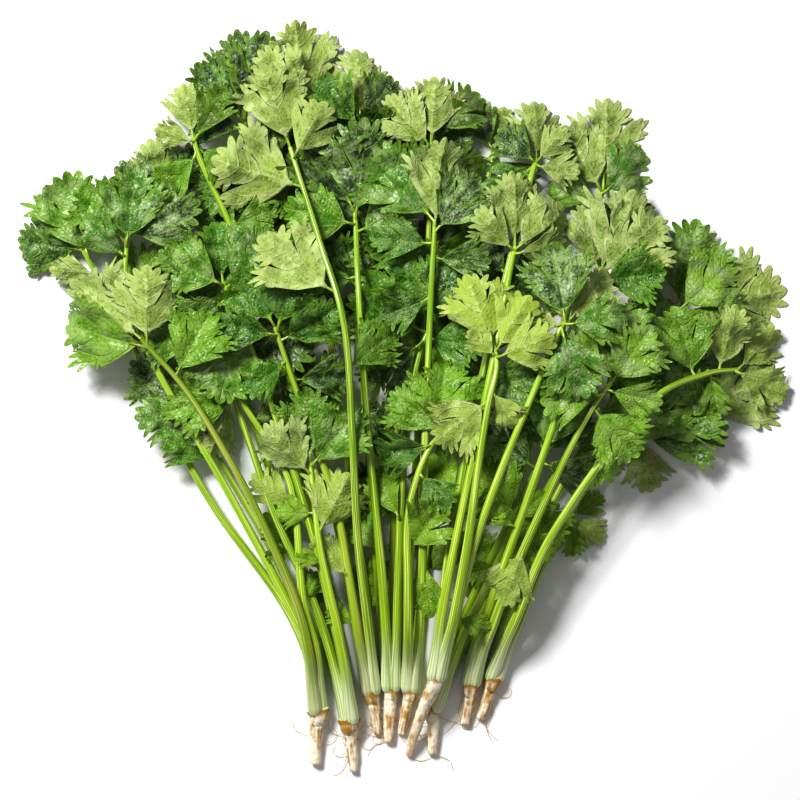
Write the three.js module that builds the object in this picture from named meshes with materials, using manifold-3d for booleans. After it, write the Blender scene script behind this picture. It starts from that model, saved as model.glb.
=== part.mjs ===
// A bunch of fresh coriander pulled with its roots, lying on a flat surface.
// Nine small plants lie side by side. Each has a crown with a trimmed taproot, and leafy stems
// that fan out from the crown and end in compound leaves with lobed, toothed leaflets.
// Units are millimetres, +Z is up and the surface is z = 0. The crowns lie towards -Y.
import * as THREE from "three";
import { mergeVertices } from "three/addons/utils/BufferGeometryUtils.js";
import Module from "manifold-3d";

const wasm = await Module();
wasm.setup();

// Driving dimensions.
const planMiddle = [0.6, -2.05]; // the middle of what the bunch covers, which is set over the origin
const stemBaseRadius = 1.75;
const stemTipRadius = 1;
const stemSides = 4;
const knotShares = [0, 0.07, 0.18, 0.33, 0.5, 0.67, 0.84, 1]; // closest where a stem leaves its crown
const slotWidth = 4.4; // between the stems that leave one crown side by side
const slotHeight = 3.7; // and one over the other
const crownGap = 0.4; // between a crown and the feet of its stems
const shoulderLength = 3.2; // a crown's widest stretch
const crownSides = 8;
const bladeThickness = 0.8;
const bladeLongest = 35;
const smallBlade = 23; // a shorter blade has three lobes and no lower teeth
const stripWidth = 1.5; // a leaflet's stalk, where it meets the blade
const stripEndWidth = 1.1; // and where it is sunk in the stem

// A leaflet's right half, from its foot to its tip, as [across, along] in shares of its length.
const outlineHalf = [
  [0.42, 0.42],
  [0.34, 0.52],
  [0.47, 0.7],
  [0.17, 0.62],
  [0.24, 0.9],
];
const bladeHeart = 0.35; // the point that the blade's facets meet at, along the midrib

// How the stems are laid on each other.
const layGap = 0.45; // height left free between two leafy stems
const cell = 0.8;
const sampleStep = 1;
const fieldReach = 180;
const laySteps = 240; // places along a stem where its height is tested
const freeFoot = 13; // length at a stem's foot that its crown holds
const steepestClimb = 0.9;
const deepestHang = 0.6;
const tilts = [-24, -12, 0, 12, 24]; // degrees that a leaflet may lean, along and across

const colours = { leaf: "#4f8a2c", crown: "#e9ddb4" };

// Each plant's crown as [x, y, radius], the way its stems leave it in degrees from +X, and its
// root as rows of [x, y, radius]. A lift raises a row off the surface.
const plants = {
  a: {
    crown: [-33, -128, 4.6],
    heading: 100,
    root: [[-33.6, -134, 3.2], [-34, -142, 2.6], [-34, -150, 2.1]],
  },
  b: {
    crown: [-20.5, -132, 4.6],
    heading: 96,
    root: [[-20, -138, 3], [-19.3, -145, 2.3], [-18.6, -153, 1.7]],
  },
  c: {
    crown: [-11.6, -120.5, 3.6],
    heading: 97,
    root: [[-10.8, -126, 2.5], [-9.8, -132, 2], [-9, -138, 1.6]],
  },
  d: {
    crown: [-3.6, -119, 3.5],
    heading: 92,
    root: [[-4, -125, 2.6], [-4.2, -133, 2.4], [-4.6, -141, 2]],
  },
  e: {
    crown: [4.2, -119.5, 3.5],
    heading: 88,
    root: [[3.4, -125, 2.5], [2, -131, 2.1], [0.6, -138, 1.6]],
  },
  f: {
    crown: [13.4, -127, 3.6],
    heading: 68,
    root: [[13.4, -133, 2.6], [13.4, -139, 2.2], [13, -146, 1.8]],
  },
  g: {
    crown: [14.5, -114, 3.5, 12],
    heading: 78,
    root: [[12.2, -121, 2.7, 11.4], [8.4, -130, 2.3, 7.4], [3.6, -146.5, 1.5]],
  },
  h: {
    crown: [28.9, -117, 3.7],
    heading: 82,
    root: [[28.4, -123, 2.7], [27.2, -128.5, 2.3], [26, -134, 1.9]],
  },
  i: {
    crown: [38, -115, 3.7],
    heading: 74,
    root: [[36.4, -120.5, 2.5], [34.6, -126.5, 2.1], [32.4, -132, 1.8]],
  },
};

// Every leafy stem, in the order in which they were laid down. Its letter is its plant. The slot is
// its place in the crown as [column, row], and the spring is the least height of its tip. The route
// is [x, y] on the plan. A leaflet is [share of the route, tip x, tip y, 1 where its underside shows].
const leafyStems = {
  f1: {
    slot: [1, 0],
    spring: 2,
    route: [[28, -98], [44, -74], [60, -58], [70, -50]],
    leaflets: [[1, 82, -42, 0], [0.98, 82, -60, 1], [0.96, 70, -66, 0]],
  },
  i1: {
    slot: [1, 0],
    spring: 4,
    route: [[47.5, -94], [60, -64], [78, -34], [98, -16]],
    leaflets: [
      [1, 154, 7, 1], [0.98, 101, -40, 1], [0.96, 132, -14, 0], [0.93, 128, 4, 0],
      [0.84, 110, 8, 0],
    ],
  },
  i2: {
    slot: [0, 0],
    spring: 6,
    route: [[43, -92], [56, -54], [78, -16], [98, 16], [112, 33]],
    leaflets: [
      [1, 120, 69, 0], [0.98, 156, 41, 1], [0.96, 94, 44, 0], [0.97, 140, 22, 0],
      [0.86, 118, 0, 0], [0.8, 109, 38, 0], [0.99, 134, 53, 0],
    ],
  },
  a1: {
    slot: [0, 0],
    spring: 10,
    route: [[-37, -108], [-43.8, -90], [-64, -61], [-84, -33], [-98, -3], [-112, 28], [-130, 62]],
    leaflets: [
      [1, -144, 83, 0], [0.98, -155, 61, 0], [0.96, -134, 88, 0], [0.94, -141, 49, 1],
      [0.88, -97, 58, 0],
    ],
  },
  a2: {
    slot: [1, 0],
    spring: 0,
    route: [[-32.8, -108], [-38, -94], [-50, -66], [-68, -36], [-84, -4]],
    leaflets: [[1, -108, 12, 0], [0.96, -106, -10, 0], [0.86, -95, -18, 0]],
  },
  h1: {
    slot: [1, 0],
    spring: 0,
    route: [[38, -92], [49, -58], [66.5, -26], [80, 0]],
    leaflets: [[0.98, 104, 14, 0], [0.94, 106, -14, 0], [0.82, 88, -32, 0]],
  },
  b1: {
    slot: [0, 0],
    spring: 2,
    route: [[-33, -92], [-50, -40], [-70, 20], [-86, 64], [-94, 79]],
    leaflets: [
      [1, -101, 102, 1], [0.98, -115, 90, 0], [0.96, -82, 100, 0], [0.9, -66, 72, 0],
      [0.22, -28, -78, 0], [0.3, -55, -49, 0],
    ],
  },
  b2: {
    slot: [1, 0],
    spring: 4,
    route: [[-27, -92], [-40, -30], [-52, 40], [-60, 92], [-63, 110]],
    leaflets: [
      [1, -66, 146, 0], [0.98, -82, 132, 0], [0.99, -54, 145, 0], [0.94, -86, 112, 0],
      [0.92, -38, 100, 0], [0.86, -76, 72, 0], [0.66, -40, 70, 0],
    ],
  },
  h2: {
    slot: [0, 0],
    spring: 4,
    route: [[33, -92], [45, -46], [62, 14], [77, 64], [82, 82]],
    leaflets: [
      [1, 84, 118, 1], [0.98, 66, 107, 1], [0.96, 98, 98, 0], [0.93, 60, 84, 0],
      [0.91, 102, 72, 0], [0.66, 38, 46, 0], [0.22, 27, -72, 0],
    ],
  },
  c1: {
    slot: [0, 0],
    spring: 4,
    route: [[-18, -90], [-34, -20], [-60, 48], [-78, 88], [-83, 102]],
    leaflets: [
      [1, -87, 124, 1], [0.98, -70, 122, 0], [0.97, -98, 106, 1], [0.93, -64, 88, 0],
      [0.9, -96, 78, 0], [0.4, -50, -1, 0], [0.68, -50, 74, 0],
    ],
  },
  e1: {
    slot: [1, 0],
    spring: 2,
    route: [[8, -88], [16, -20], [28, 50], [36, 88], [38, 98]],
    leaflets: [
      [1, 42, 115, 1], [0.98, 26, 116, 0], [0.93, 18, 90, 0], [0.91, 54, 80, 0],
      [0.64, 8, 68, 0], [0.6, 47, 45, 0], [0.24, 21, -56, 0], [0.28, -5, -64, 0],
    ],
  },
  c2: {
    slot: [1, 0],
    spring: 2,
    route: [[-13, -90], [-22, -20], [-32, 50], [-36, 100], [-37, 115]],
    leaflets: [
      [1, -42, 149, 1], [0.97, -56, 136, 1], [0.94, -16, 108, 0], [0.92, -58, 104, 0],
      [0.72, -54, 80, 0], [0.44, -42, 13, 0], [0.3, -8, -35, 0], [0.19, -8, -68, 0],
    ],
  },
  d1: {
    slot: [0, 0],
    spring: 2,
    route: [[-7.5, -88], [-13, -20], [-17, 50], [-17, 96], [-16, 108]],
    leaflets: [
      [1, -17, 139, 1], [0.98, -3, 127, 0], [0.97, -32, 126, 0], [0.88, -24, 62, 0],
      [0.58, -34, 62, 0], [0.5, -23, 38, 0], [0.36, -20, -30, 0],
    ],
  },
  d2: {
    slot: [1, 0],
    spring: 2,
    route: [[-2.5, -88], [-2, -20], [0, 50], [1, 92]],
    leaflets: [
      [1, 29, 104, 0], [0.98, 8, 121, 0], [0.96, -14, 114, 0], [0.72, -12, 66, 0],
      [0.46, -12, -4, 0],
    ],
  },
  e2: {
    slot: [0, 0],
    spring: 2,
    route: [[3, -88], [7, -20], [11, 50], [13, 104]],
    leaflets: [
      [1, 32, 121, 0], [0.98, 14, 126, 1], [0.97, -6, 118, 1], [0.92, 34, 92, 0],
      [0.78, 34, 58, 0], [0.5, 24, 34, 0],
    ],
  },
  f2: {
    slot: [0, 0],
    spring: 2,
    route: [[22.8, -98], [36, -68], [50, -40], [58, -24]],
    leaflets: [
      [1, 76, -10, 0], [0.98, 50, 4, 0], [0.97, 66, 8, 0], [0.93, 80, -36, 0],
      [0.88, 34, -14, 0], [0.76, 64, -62, 0], [0.42, 28, -54, 0],
    ],
  },
  f3: {
    slot: [1, 1],
    spring: 2,
    route: [[22, -106], [32, -84], [42, -62], [46, -50]],
    leaflets: [
      [1, 33, -28, 0], [0.97, 58, -40, 0], [0.86, 62, -66, 0], [0.66, 26, -74, 0],
    ],
  },
  a3: {
    slot: [0, 1],
    spring: 10,
    route: [[-36, -108], [-42, -91], [-59, -57], [-84, -14], [-102, 18], [-110, 43], [-110, 62]],
    leaflets: [
      [1, -82, 76, 0], [0.98, -128, 82, 0], [0.97, -106, 90, 0], [0.94, -126, 68, 0],
      [0.88, -86, 46, 0],
    ],
  },
  h3: {
    slot: [0, 1],
    spring: 4,
    route: [[35, -88], [49, -48], [66, 2], [77, 36], [80, 48]],
    leaflets: [
      [1, 74, 77, 1], [0.98, 95, 79, 1], [0.97, 105, 70, 1], [0.93, 106, 48, 0],
      [0.82, 96, 18, 0],
    ],
  },
  g1: {
    slot: [0, 0],
    spring: 0,
    route: [[17, -86], [26, -24], [42, 44], [52, 84], [55, 93]],
    leaflets: [
      [1, 55, 117, 1], [0.98, 67, 106, 1], [0.97, 40, 106, 0], [0.94, 72, 88, 1],
      [0.92, 32, 80, 0], [0.42, 42, -26, 0], [0.47, 56, 7, 0], [0.34, 13, -25, 0],
      [0.62, 33, 60, 0],
    ],
  },
  i3: {
    slot: [0, 1],
    spring: 8,
    route: [[46, -92], [59, -60], [80, -28], [102, -2], [122, 7], [136, 9]],
    leaflets: [
      [1, 152, 25, 1], [0.98, 156, -2, 1], [0.9, 135, 34, 1], [0.86, 128, -10, 0],
      [0.8, 110, 34, 0],
    ],
  },
  b3: {
    slot: [0, 1],
    spring: 2,
    route: [[-31, -94], [-50, -50], [-64, -10], [-73, 14]],
    leaflets: [[1, -36, 18, 0], [0.84, -76, -26, 1], [0.62, -45, -14, 0], [0.42, -54, -66, 0]],
  },
  a4: {
    slot: [1, 1],
    spring: 2,
    route: [[-33, -106], [-38, -91], [-41, -60], [-43, -40], [-50, -24], [-64, -3], [-83, 28]],
    leaflets: [
      [1, -100, 42, 0], [0.98, -78, 58, 0], [0.97, -106, 22, 0], [0.86, -94, -8, 0],
      [0.8, -50, -6, 0], [0.52, -59, -33, 1], [0.32, -33, -72, 0],
    ],
  },
  b4: {
    slot: [1, 1],
    spring: 2,
    route: [[-26, -94], [-38, -46], [-52, -4], [-64, 28], [-71, 44]],
    leaflets: [
      [1, -74, 68, 0], [0.98, -96, 56, 0], [0.96, -50, 64, 0], [0.92, -90, 24, 0],
      [0.82, -72, -4, 0], [0.42, -30, -34, 0],
    ],
  },
  d3: {
    slot: [1, 1],
    spring: 2,
    route: [[-1, -88], [1, -34], [6, 8], [12, 26]],
    leaflets: [
      [1, -4, 62, 0], [0.98, 24, 56, 0], [0.96, -20, 38, 0], [0.93, 34, 18, 0],
      [0.9, -16, 4, 0], [0.5, 12, -34, 0], [0.42, -10, -29, 0],
    ],
  },
  d4: {
    slot: [0, 1],
    spring: 2,
    route: [[-6, -88], [-12, -24], [-16, 30], [-18, 72]],
    leaflets: [
      [1, -36, 106, 0], [0.98, -14, 108, 0], [0.97, -46, 74, 0], [0.95, 6, 76, 0],
      [0.84, -40, 42, 0], [0.35, -20, -50, 0],
    ],
  },
  e3: {
    slot: [1, 1],
    spring: 2,
    route: [[8.5, -88], [10, -24], [12, 30], [14, 68]],
    leaflets: [
      [1, -10, 97, 0], [0.98, 17, 101, 1], [0.97, 32, 86, 0], [0.94, -12, 62, 0],
      [0.9, 36, 52, 0], [0.8, -8, 30, 0], [0.36, 20, -44, 1], [0.34, 12, -90, 0],
    ],
  },
  h4: {
    slot: [1, 1],
    spring: 2,
    route: [[39, -88], [55, -50], [72, -14], [84, 4]],
    leaflets: [
      [1, 80, 34, 0], [0.98, 100, 26, 0], [0.97, 62, 22, 0], [0.95, 104, -4, 0],
      [0.92, 56, -4, 0], [0.84, 94, -26, 0], [0.42, 41, -85, 1],
    ],
  },
  c3: {
    slot: [0, 1],
    spring: 2,
    route: [[-18, -90], [-26, -44], [-40, -4], [-50, 26]],
    leaflets: [
      [1, -64, 50, 0], [0.98, -42, 56, 0], [0.97, -74, 28, 0], [0.95, -24, 34, 0],
      [0.88, -62, 0, 0], [0.82, -20, 6, 0], [0.34, -34, -58, 1], [0.22, -29, -86, 0],
    ],
  },
  e4: {
    slot: [0, 1],
    spring: 2,
    route: [[3.5, -88], [3, -52], [9, -28], [16, -17]],
    leaflets: [
      [1, -4, 0, 0], [0.98, 18, 12, 0], [0.42, 17, -44, 0], [0.88, -10, -24, 0],
      [0.7, 20, -46, 0],
    ],
  },
  b5: {
    slot: [1, 2],
    spring: 2,
    route: [[-25, -94], [-32, -62], [-36, -28]],
    leaflets: [
      [1, -36, 1, 0], [0.98, -16, -6, 0], [0.95, -54, -14, 1], [0.6, -42, -66, 0],
      [0.8, -50, -48, 0], [0.72, -20, -33, 1],
    ],
  },
  g2: {
    slot: [0, 1],
    spring: 2,
    route: [[17.5, -84], [26, -40], [37, 12], [43, 44], [46, 58]],
    leaflets: [
      [1, 46, 88, 1], [0.98, 68, 74, 1], [0.97, 31, 72, 1], [0.95, 67, 60, 1],
      [0.36, 38, -44, 0],
    ],
  },
  g3: {
    slot: [1, 0],
    spring: 2,
    route: [[23.5, -84], [34, -46], [50, -8], [62, 22], [66, 27]],
    leaflets: [
      [1, 84, 48, 1], [0.98, 60, 60, 0], [0.97, 90, 30, 0], [0.93, 44, 30, 1], [0.86, 74, -2, 0],
      [0.36, 44, -46, 0], [0.16, 36, -94, 0],
    ],
  },
  a5: {
    slot: [0, 2],
    spring: 6,
    route: [[-36, -108], [-40, -90], [-50, -60], [-64, -37], [-74, -16], [-87, 3], [-103, 21]],
    leaflets: [[1, -131, 44, 1], [0.98, -101, 50, 1], [0.97, -135, 29, 0], [0.88, -76, 32, 0]],
  },
  g4: {
    slot: [1, 1],
    spring: 4,
    route: [[22.5, -84], [29, -46], [33, -14], [38, 6], [38, 17]],
    leaflets: [
      [1, 26, 47, 1], [0.98, 51, 38, 1], [0.94, 27, 24, 1], [0.93, 60, 22, 1],
      [0.74, 46, -14, 1], [0.7, 14, -20, 1],
    ],
  },
  c4: {
    slot: [1, 1],
    spring: 4,
    route: [[-13, -92], [-17, -56], [-19, -16], [-22, 26], [-32, 60], [-44, 98]],
    leaflets: [
      [1, -55, 131, 1], [0.98, -30, 116, 1], [0.93, -75, 93, 1], [0.73, -56, 62, 1],
      [0.6, -2, 24, 0],
    ],
  },
};

const radians = THREE.MathUtils.degToRad;
const mix = THREE.MathUtils.lerp;

// A repeatable draw between two limits. Two numbers name it.
function draw(first, second, low, high) {
  const spread = Math.sin(first * 12.9898 + second * 78.233) * 43758.5453;
  return mix(low, high, spread - Math.floor(spread));
}

// The field holds, for each cell of the plan, the height of what lies there already.
const fieldSide = Math.ceil((2 * fieldReach) / cell);
const field = new Float64Array(fieldSide * fieldSide);
const cellNumber = (value) => Math.floor((value + fieldReach) / cell);

// Calls visit with each cell near a point and the cell's distance from it.
function eachCell(x, y, reach, visit) {
  for (let j = cellNumber(y - reach); j <= cellNumber(y + reach); j++)
    for (let i = cellNumber(x - reach); i <= cellNumber(x + reach); i++) {
      const dx = (i + 0.5) * cell - fieldReach - x;
      const dy = (j + 0.5) * cell - fieldReach - y;
      visit(i + fieldSide * j, Math.max(0, Math.hypot(dx, dy) - cell / 2));
    }
}

// What lies under a height is free by the gap, unless it is the bare surface.
const clearOf = (top) => (top > 0 ? top + layGap : 0);

// Half the height of a round section at a distance from its middle.
const halfHeight = (radius, distance) => Math.sqrt(Math.max(0, radius * radius - distance * distance));

// The least height of a round section's centre at which it clears what lies there.
function roundNeed(x, y, radius) {
  let need = radius;
  eachCell(x, y, radius, (at, distance) => {
    if (distance < radius) need = Math.max(need, clearOf(field[at]) + halfHeight(radius, distance));
  });
  return need;
}

function raiseRound(x, y, radius, height) {
  eachCell(x, y, radius + cell, (at, distance) => {
    if (distance < radius) field[at] = Math.max(field[at], height + halfHeight(radius, distance));
  });
}

function raiseFlat(x, y, height) {
  eachCell(x, y, sampleStep, (at) => {
    field[at] = Math.max(field[at], height);
  });
}

// A closed body from rings of points, each ring with the same number of them.
function loft(rings) {
  const sides = rings[0].length;
  const faces = [];
  for (let r = 0; r + 1 < rings.length; r++)
    for (let s = 0; s < sides; s++) {
      const a = r * sides + s;
      const b = r * sides + ((s + 1) % sides);
      faces.push(a, b, b + sides, a, b + sides, a + sides);
    }
  const last = (rings.length - 1) * sides;
  for (let s = 1; s + 1 < sides; s++) faces.push(0, s + 1, s, last, last + s, last + s + 1);
  return new THREE.BufferGeometry().setFromPoints(rings.flat()).setIndex(faces);
}

// A ring round a centre, standing upright across the plan direction.
function ringAt(centre, direction, radius, sides, turn) {
  const across = new THREE.Vector3(direction.y, -direction.x, 0).normalize();
  return Array.from({ length: sides }, (_, k) => {
    const angle = turn - (2 * Math.PI * k) / sides;
    return centre
      .clone()
      .addScaledVector(across, radius * Math.cos(angle))
      .add(new THREE.Vector3(0, 0, radius * Math.sin(angle)));
  });
}

function tube(centres, radii, sides, turn) {
  return loft(
    centres.map((centre, k) => {
      const ahead = centres[Math.min(k + 1, centres.length - 1)];
      const behind = centres[Math.max(k - 1, 0)];
      return ringAt(centre, ahead.clone().sub(behind), radii[k], sides, turn);
    }),
  );
}

// A crown and its taproot. Each ring stands on one of its flats, so the underside is level.
function rootGeometry({ crown, heading, root }) {
  const centreOf = ([x, y, radius, lift = 0]) =>
    new THREE.Vector3(x, y, radius * Math.cos(Math.PI / crownSides) + lift);
  const angle = radians(heading);
  const top = centreOf(crown);
  const back = new THREE.Vector3(-Math.cos(angle), -Math.sin(angle), 0);
  const shoulder = top.clone().addScaledVector(back, shoulderLength);
  const centres = [top, shoulder, ...root.map(centreOf)];
  const radii = [crown[2], crown[2], ...root.map((row) => row[2])];
  return tube(centres, radii, crownSides, Math.PI / crownSides);
}

// The foot of a stem: beside the plant's axis, on its row, just clear of the crown.
function footOf({ crown, heading }, [column, row]) {
  const [x, y, , lift = 0] = crown;
  const angle = radians(heading);
  const aside = (column - 0.5) * slotWidth;
  return new THREE.Vector3(
    x + Math.sin(angle) * aside + Math.cos(angle) * crownGap,
    y - Math.cos(angle) * aside + Math.sin(angle) * crownGap,
    stemBaseRadius + lift + row * slotHeight,
  );
}

const stemRadius = (share) => mix(stemBaseRadius, stemTipRadius, share * share);

// A leaflet's axes and sizes, leaning by a pitch and a roll. Its base has no height yet.
function shapeLeaflet(attach, [, x, y, under], number, pitch, roll) {
  const reach = Math.hypot(x - attach.x, y - attach.y);
  const stalk = Math.max(reach - bladeLongest, reach * 0.12);
  const heading = Math.atan2(y - attach.y, x - attach.x);
  const ahead = new THREE.Vector3(Math.cos(heading), Math.sin(heading), 0);
  const level = new THREE.Vector3(Math.sin(heading), -Math.cos(heading), 0);
  const along = ahead.clone().multiplyScalar(Math.cos(pitch));
  along.z = Math.sin(pitch);
  const upright = level.clone().cross(along);
  return {
    base: new THREE.Vector3(attach.x, attach.y, 0).addScaledVector(ahead, stalk),
    stalk,
    level,
    along,
    across: level.clone().multiplyScalar(Math.cos(roll)).addScaledVector(upright, Math.sin(roll)),
    up: upright.multiplyScalar(Math.cos(roll)).addScaledVector(level, -Math.sin(roll)),
    length: (reach - stalk) / Math.cos(pitch),
    width: draw(number, 1, 0.92, 1.18),
    fold: draw(number, 2, -0.1, 0.34) * (under ? -1 : 1),
    arch: draw(number, 3, -0.02, 0.08),
    sag: draw(number, 4, -0.04, 0.1),
  };
}

// A point of the blade's middle surface, measured from its base in shares of its length.
function bladePoint({ across, along, up, length, fold, arch, sag }, u, v) {
  const rise = fold * Math.abs(u) + arch * 4 * v * (1 - v) - sag * v * v;
  return new THREE.Vector3()
    .addScaledVector(across, u * length)
    .addScaledVector(along, v * length)
    .addScaledVector(up, rise * length);
}

// The blade's rim from the right of its foot, round its teeth to the left of its foot.
function bladeRim(leaflet) {
  const foot = stripWidth / 2 / leaflet.length;
  const teeth = leaflet.length < smallBlade ? outlineHalf.slice(2) : outlineHalf;
  const half = teeth.map(([u, v]) => [u * leaflet.width, v]);
  const right = [[foot, 0], ...half];
  const left = right.map(([u, v]) => [-u, v]).reverse();
  return [...right, [0, 1], ...left].map(([u, v]) => bladePoint(leaflet, u, v));
}

// Points spread over the blade's facets, close enough for the field.
function bladeSamples(leaflet) {
  const rim = bladeRim(leaflet);
  const heart = bladePoint(leaflet, 0, bladeHeart);
  const samples = [];
  rim.forEach((point, k) => {
    const next = rim[(k + 1) % rim.length];
    const longest = Math.max(point.distanceTo(heart), point.distanceTo(next), next.distanceTo(heart));
    const steps = Math.ceil(longest / sampleStep);
    for (let i = 0; i <= steps; i++)
      for (let j = 0; i + j <= steps; j++)
        samples.push(
          heart
            .clone()
            .multiplyScalar((steps - i - j) / steps)
            .addScaledVector(point, i / steps)
            .addScaledVector(next, j / steps),
        );
  });
  return samples;
}

// The least height of the base at which the blade clears what lies below it.
function bladeNeed(leaflet, samples) {
  return samples.reduce((most, p) => {
    const at = cellNumber(leaflet.base.x + p.x) + fieldSide * cellNumber(leaflet.base.y + p.y);
    return Math.max(most, clearOf(field[at]) + bladeThickness / 2 - p.z);
  }, 0);
}

// Of all the ways that a leaflet may lean, the one that lies lowest on what is there already,
// though no lower than its stem lets it hang.
function settleLeaflet(attach, row, number, lowest = 0) {
  let best = null;
  for (const pitch of tilts)
    for (const roll of tilts) {
      const leaflet = shapeLeaflet(attach, row, number, radians(pitch), radians(roll));
      const samples = bladeSamples(leaflet);
      const mean = samples.reduce((sum, p) => sum + p.z, 0) / samples.length;
      const top = samples.reduce((most, p) => Math.max(most, p.z), 0);
      leaflet.base.z = Math.max(bladeNeed(leaflet, samples), lowest - deepestHang * leaflet.stalk);
      leaflet.middle = leaflet.base.z + (mean + top) / 2;
      if (!best || leaflet.middle < best.middle) best = { ...leaflet, samples };
    }
  for (let f = 0.2; f <= 1; f += 0.2) {
    const x = mix(attach.x, best.base.x, f);
    const y = mix(attach.y, best.base.y, f);
    best.base.z = Math.max(best.base.z, roundNeed(x, y, stripWidth / 2));
  }
  return best;
}

// The stretch between two knots that a share of a stem lies in, and how far along it.
function stretchOf(share) {
  const next = knotShares.findIndex((end) => end > share);
  const k = next < 0 ? knotShares.length - 2 : next - 1;
  return [k, (share - knotShares[k]) / (knotShares[k + 1] - knotShares[k])];
}

// Lifts the knots of a stem by the least that gives each of its needs, as [share, height].
function liftKnots(knots, needs) {
  for (const [share, height] of needs) {
    const [k, far] = stretchOf(share);
    const near = k > 0 ? 1 - far : 0;
    const lack = height - mix(knots[k].z, knots[k + 1].z, far);
    const weight = near * near + far * far;
    if (lack <= 0 || weight < 1e-6) continue;
    knots[k].z += (lack * near) / weight;
    knots[k + 1].z += (lack * far) / weight;
  }
}

// Lays one leafy stem on what is there already: finds the heights of its knots and leaflets.
function layStem(plant, stem, number) {
  const foot = footOf(plant, stem.slot);
  const plan = [foot, ...stem.route.map(([x, y]) => new THREE.Vector3(x, y, foot.z))];
  const curve = new THREE.CatmullRomCurve3(plan, false, "catmullrom", 0.5);
  const knots = knotShares.map((share) => curve.getPoint(share));
  const pointAt = (share) => {
    const [k, far] = stretchOf(share);
    return knots[k].clone().lerp(knots[k + 1], far);
  };
  knots.forEach((knot, k) => {
    const share = knotShares[k];
    knot.z = mix(foot.z, Math.max(stemRadius(share), stem.spring), Math.min(1, share * 1.4));
  });

  const shares = Array.from({ length: laySteps + 1 }, (_, k) => k / laySteps);
  const needs = [];
  for (const share of shares) {
    const point = pointAt(share);
    if (Math.hypot(point.x - foot.x, point.y - foot.y) < freeFoot) continue;
    needs.push([share, roundNeed(point.x, point.y, stemRadius(share))]);
  }
  stem.leaflets.forEach((row, k) => {
    const leaflet = settleLeaflet(pointAt(row[0]), row, number * 10 + k);
    needs.push([row[0], leaflet.base.z - steepestClimb * leaflet.stalk]);
  });
  for (let round = 0; round < 80; round++) {
    if (round < 40)
      for (let k = 1; k + 1 < knots.length; k++) {
        const [behind, own, ahead] = knotShares.slice(k - 1);
        const even = mix(knots[k - 1].z, knots[k + 1].z, (own - behind) / (ahead - behind));
        knots[k].z = mix(knots[k].z, even, 0.4);
      }
    liftKnots(knots, needs);
  }

  const leaflets = stem.leaflets.map((row, k) => {
    const attach = pointAt(row[0]);
    const leaflet = settleLeaflet(attach, row, number * 10 + k, attach.z);
    for (const sample of leaflet.samples) {
      const p = sample.add(leaflet.base);
      raiseFlat(p.x, p.y, p.z + bladeThickness / 2);
    }
    for (let f = 0; f <= 1; f += 0.1) {
      const point = attach.clone().lerp(leaflet.base, f);
      raiseRound(point.x, point.y, stripWidth / 2, point.z);
    }
    return { ...leaflet, attach };
  });
  for (const share of shares) {
    const point = pointAt(share);
    raiseRound(point.x, point.y, stemRadius(share), point.z);
  }
  return { knots, leaflets };
}

// A leaflet with its stalk: a thin sheet of facets, alike above and below.
function leafletGeometry(leaflet) {
  const { base, attach, level, up } = leaflet;
  const rim = bladeRim(leaflet).map((point) => point.add(base));
  const side = level.clone().multiplyScalar(stripEndWidth / 2);
  const middle = [
    bladePoint(leaflet, 0, bladeHeart).add(base),
    ...rim,
    attach.clone().sub(side),
    attach.clone().add(side),
  ];
  const count = middle.length;
  const rimEnd = rim.length;
  const leans = middle.map((_, k) => (k > rimEnd ? new THREE.Vector3(0, 0, 1) : up));
  const half = bladeThickness / 2;
  const shift = (way) => middle.map((p, k) => p.clone().addScaledVector(leans[k], way * half));
  const faces = [];
  const facet = (a, b, c) => faces.push(a, b, c, count + a, count + c, count + b);
  for (let k = 1; k < rimEnd; k++) facet(0, k, k + 1);
  facet(0, rimEnd, 1);
  facet(1, rimEnd, rimEnd + 1);
  facet(1, rimEnd + 1, rimEnd + 2);
  for (let k = 1; k < count; k++) {
    const next = (k % (count - 1)) + 1;
    faces.push(k, count + k, count + next, k, count + next, next);
  }
  return new THREE.BufferGeometry().setFromPoints([...shift(1), ...shift(-1)]).setIndex(faces);
}

// A three.js geometry as a manifold-3d solid, and the solid back as a geometry.
function solidOf(geometry) {
  const merged = mergeVertices(geometry, 1e-4);
  return new wasm.Manifold(
    new wasm.Mesh({
      numProp: 3,
      vertProperties: merged.attributes.position.array,
      triVerts: new Uint32Array(merged.index.array),
    }),
  );
}

function geometryOf(solid) {
  const mesh = solid.getMesh();
  const geometry = new THREE.BufferGeometry()
    .setAttribute("position", new THREE.BufferAttribute(mesh.vertProperties, 3))
    .setIndex(new THREE.BufferAttribute(mesh.triVerts, 1));
  geometry.computeVertexNormals();
  return geometry;
}

function stemSolid({ knots, leaflets }) {
  const radii = knotShares.map(stemRadius);
  const stalk = solidOf(tube(knots, radii, stemSides, Math.PI / 2));
  return leaflets.reduce((solid, leaflet) => solid.add(solidOf(leafletGeometry(leaflet))), stalk);
}

const materials = Object.fromEntries(
  Object.entries(colours).map(([name, colour]) => [
    name,
    new THREE.MeshStandardMaterial({ name, color: colour, roughness: 0.55, metalness: 0 }),
  ]),
);

const bunch = new THREE.Group();
bunch.name = "coriander_bunch";
bunch.position.set(-planMiddle[0], -planMiddle[1], 0);

for (const [letter, plant] of Object.entries(plants)) {
  const mesh = new THREE.Mesh(rootGeometry(plant), materials.crown);
  mesh.name = `taproot_${letter}`;
  bunch.add(mesh);
}

Object.entries(leafyStems).forEach(([name, stem], k) => {
  const laid = layStem(plants[name[0]], stem, k + 1);
  const mesh = new THREE.Mesh(geometryOf(stemSolid(laid)), materials.leaf);
  mesh.name = `leafy_stem_${name}`;
  bunch.add(mesh);
});

export default bunch;
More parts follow.
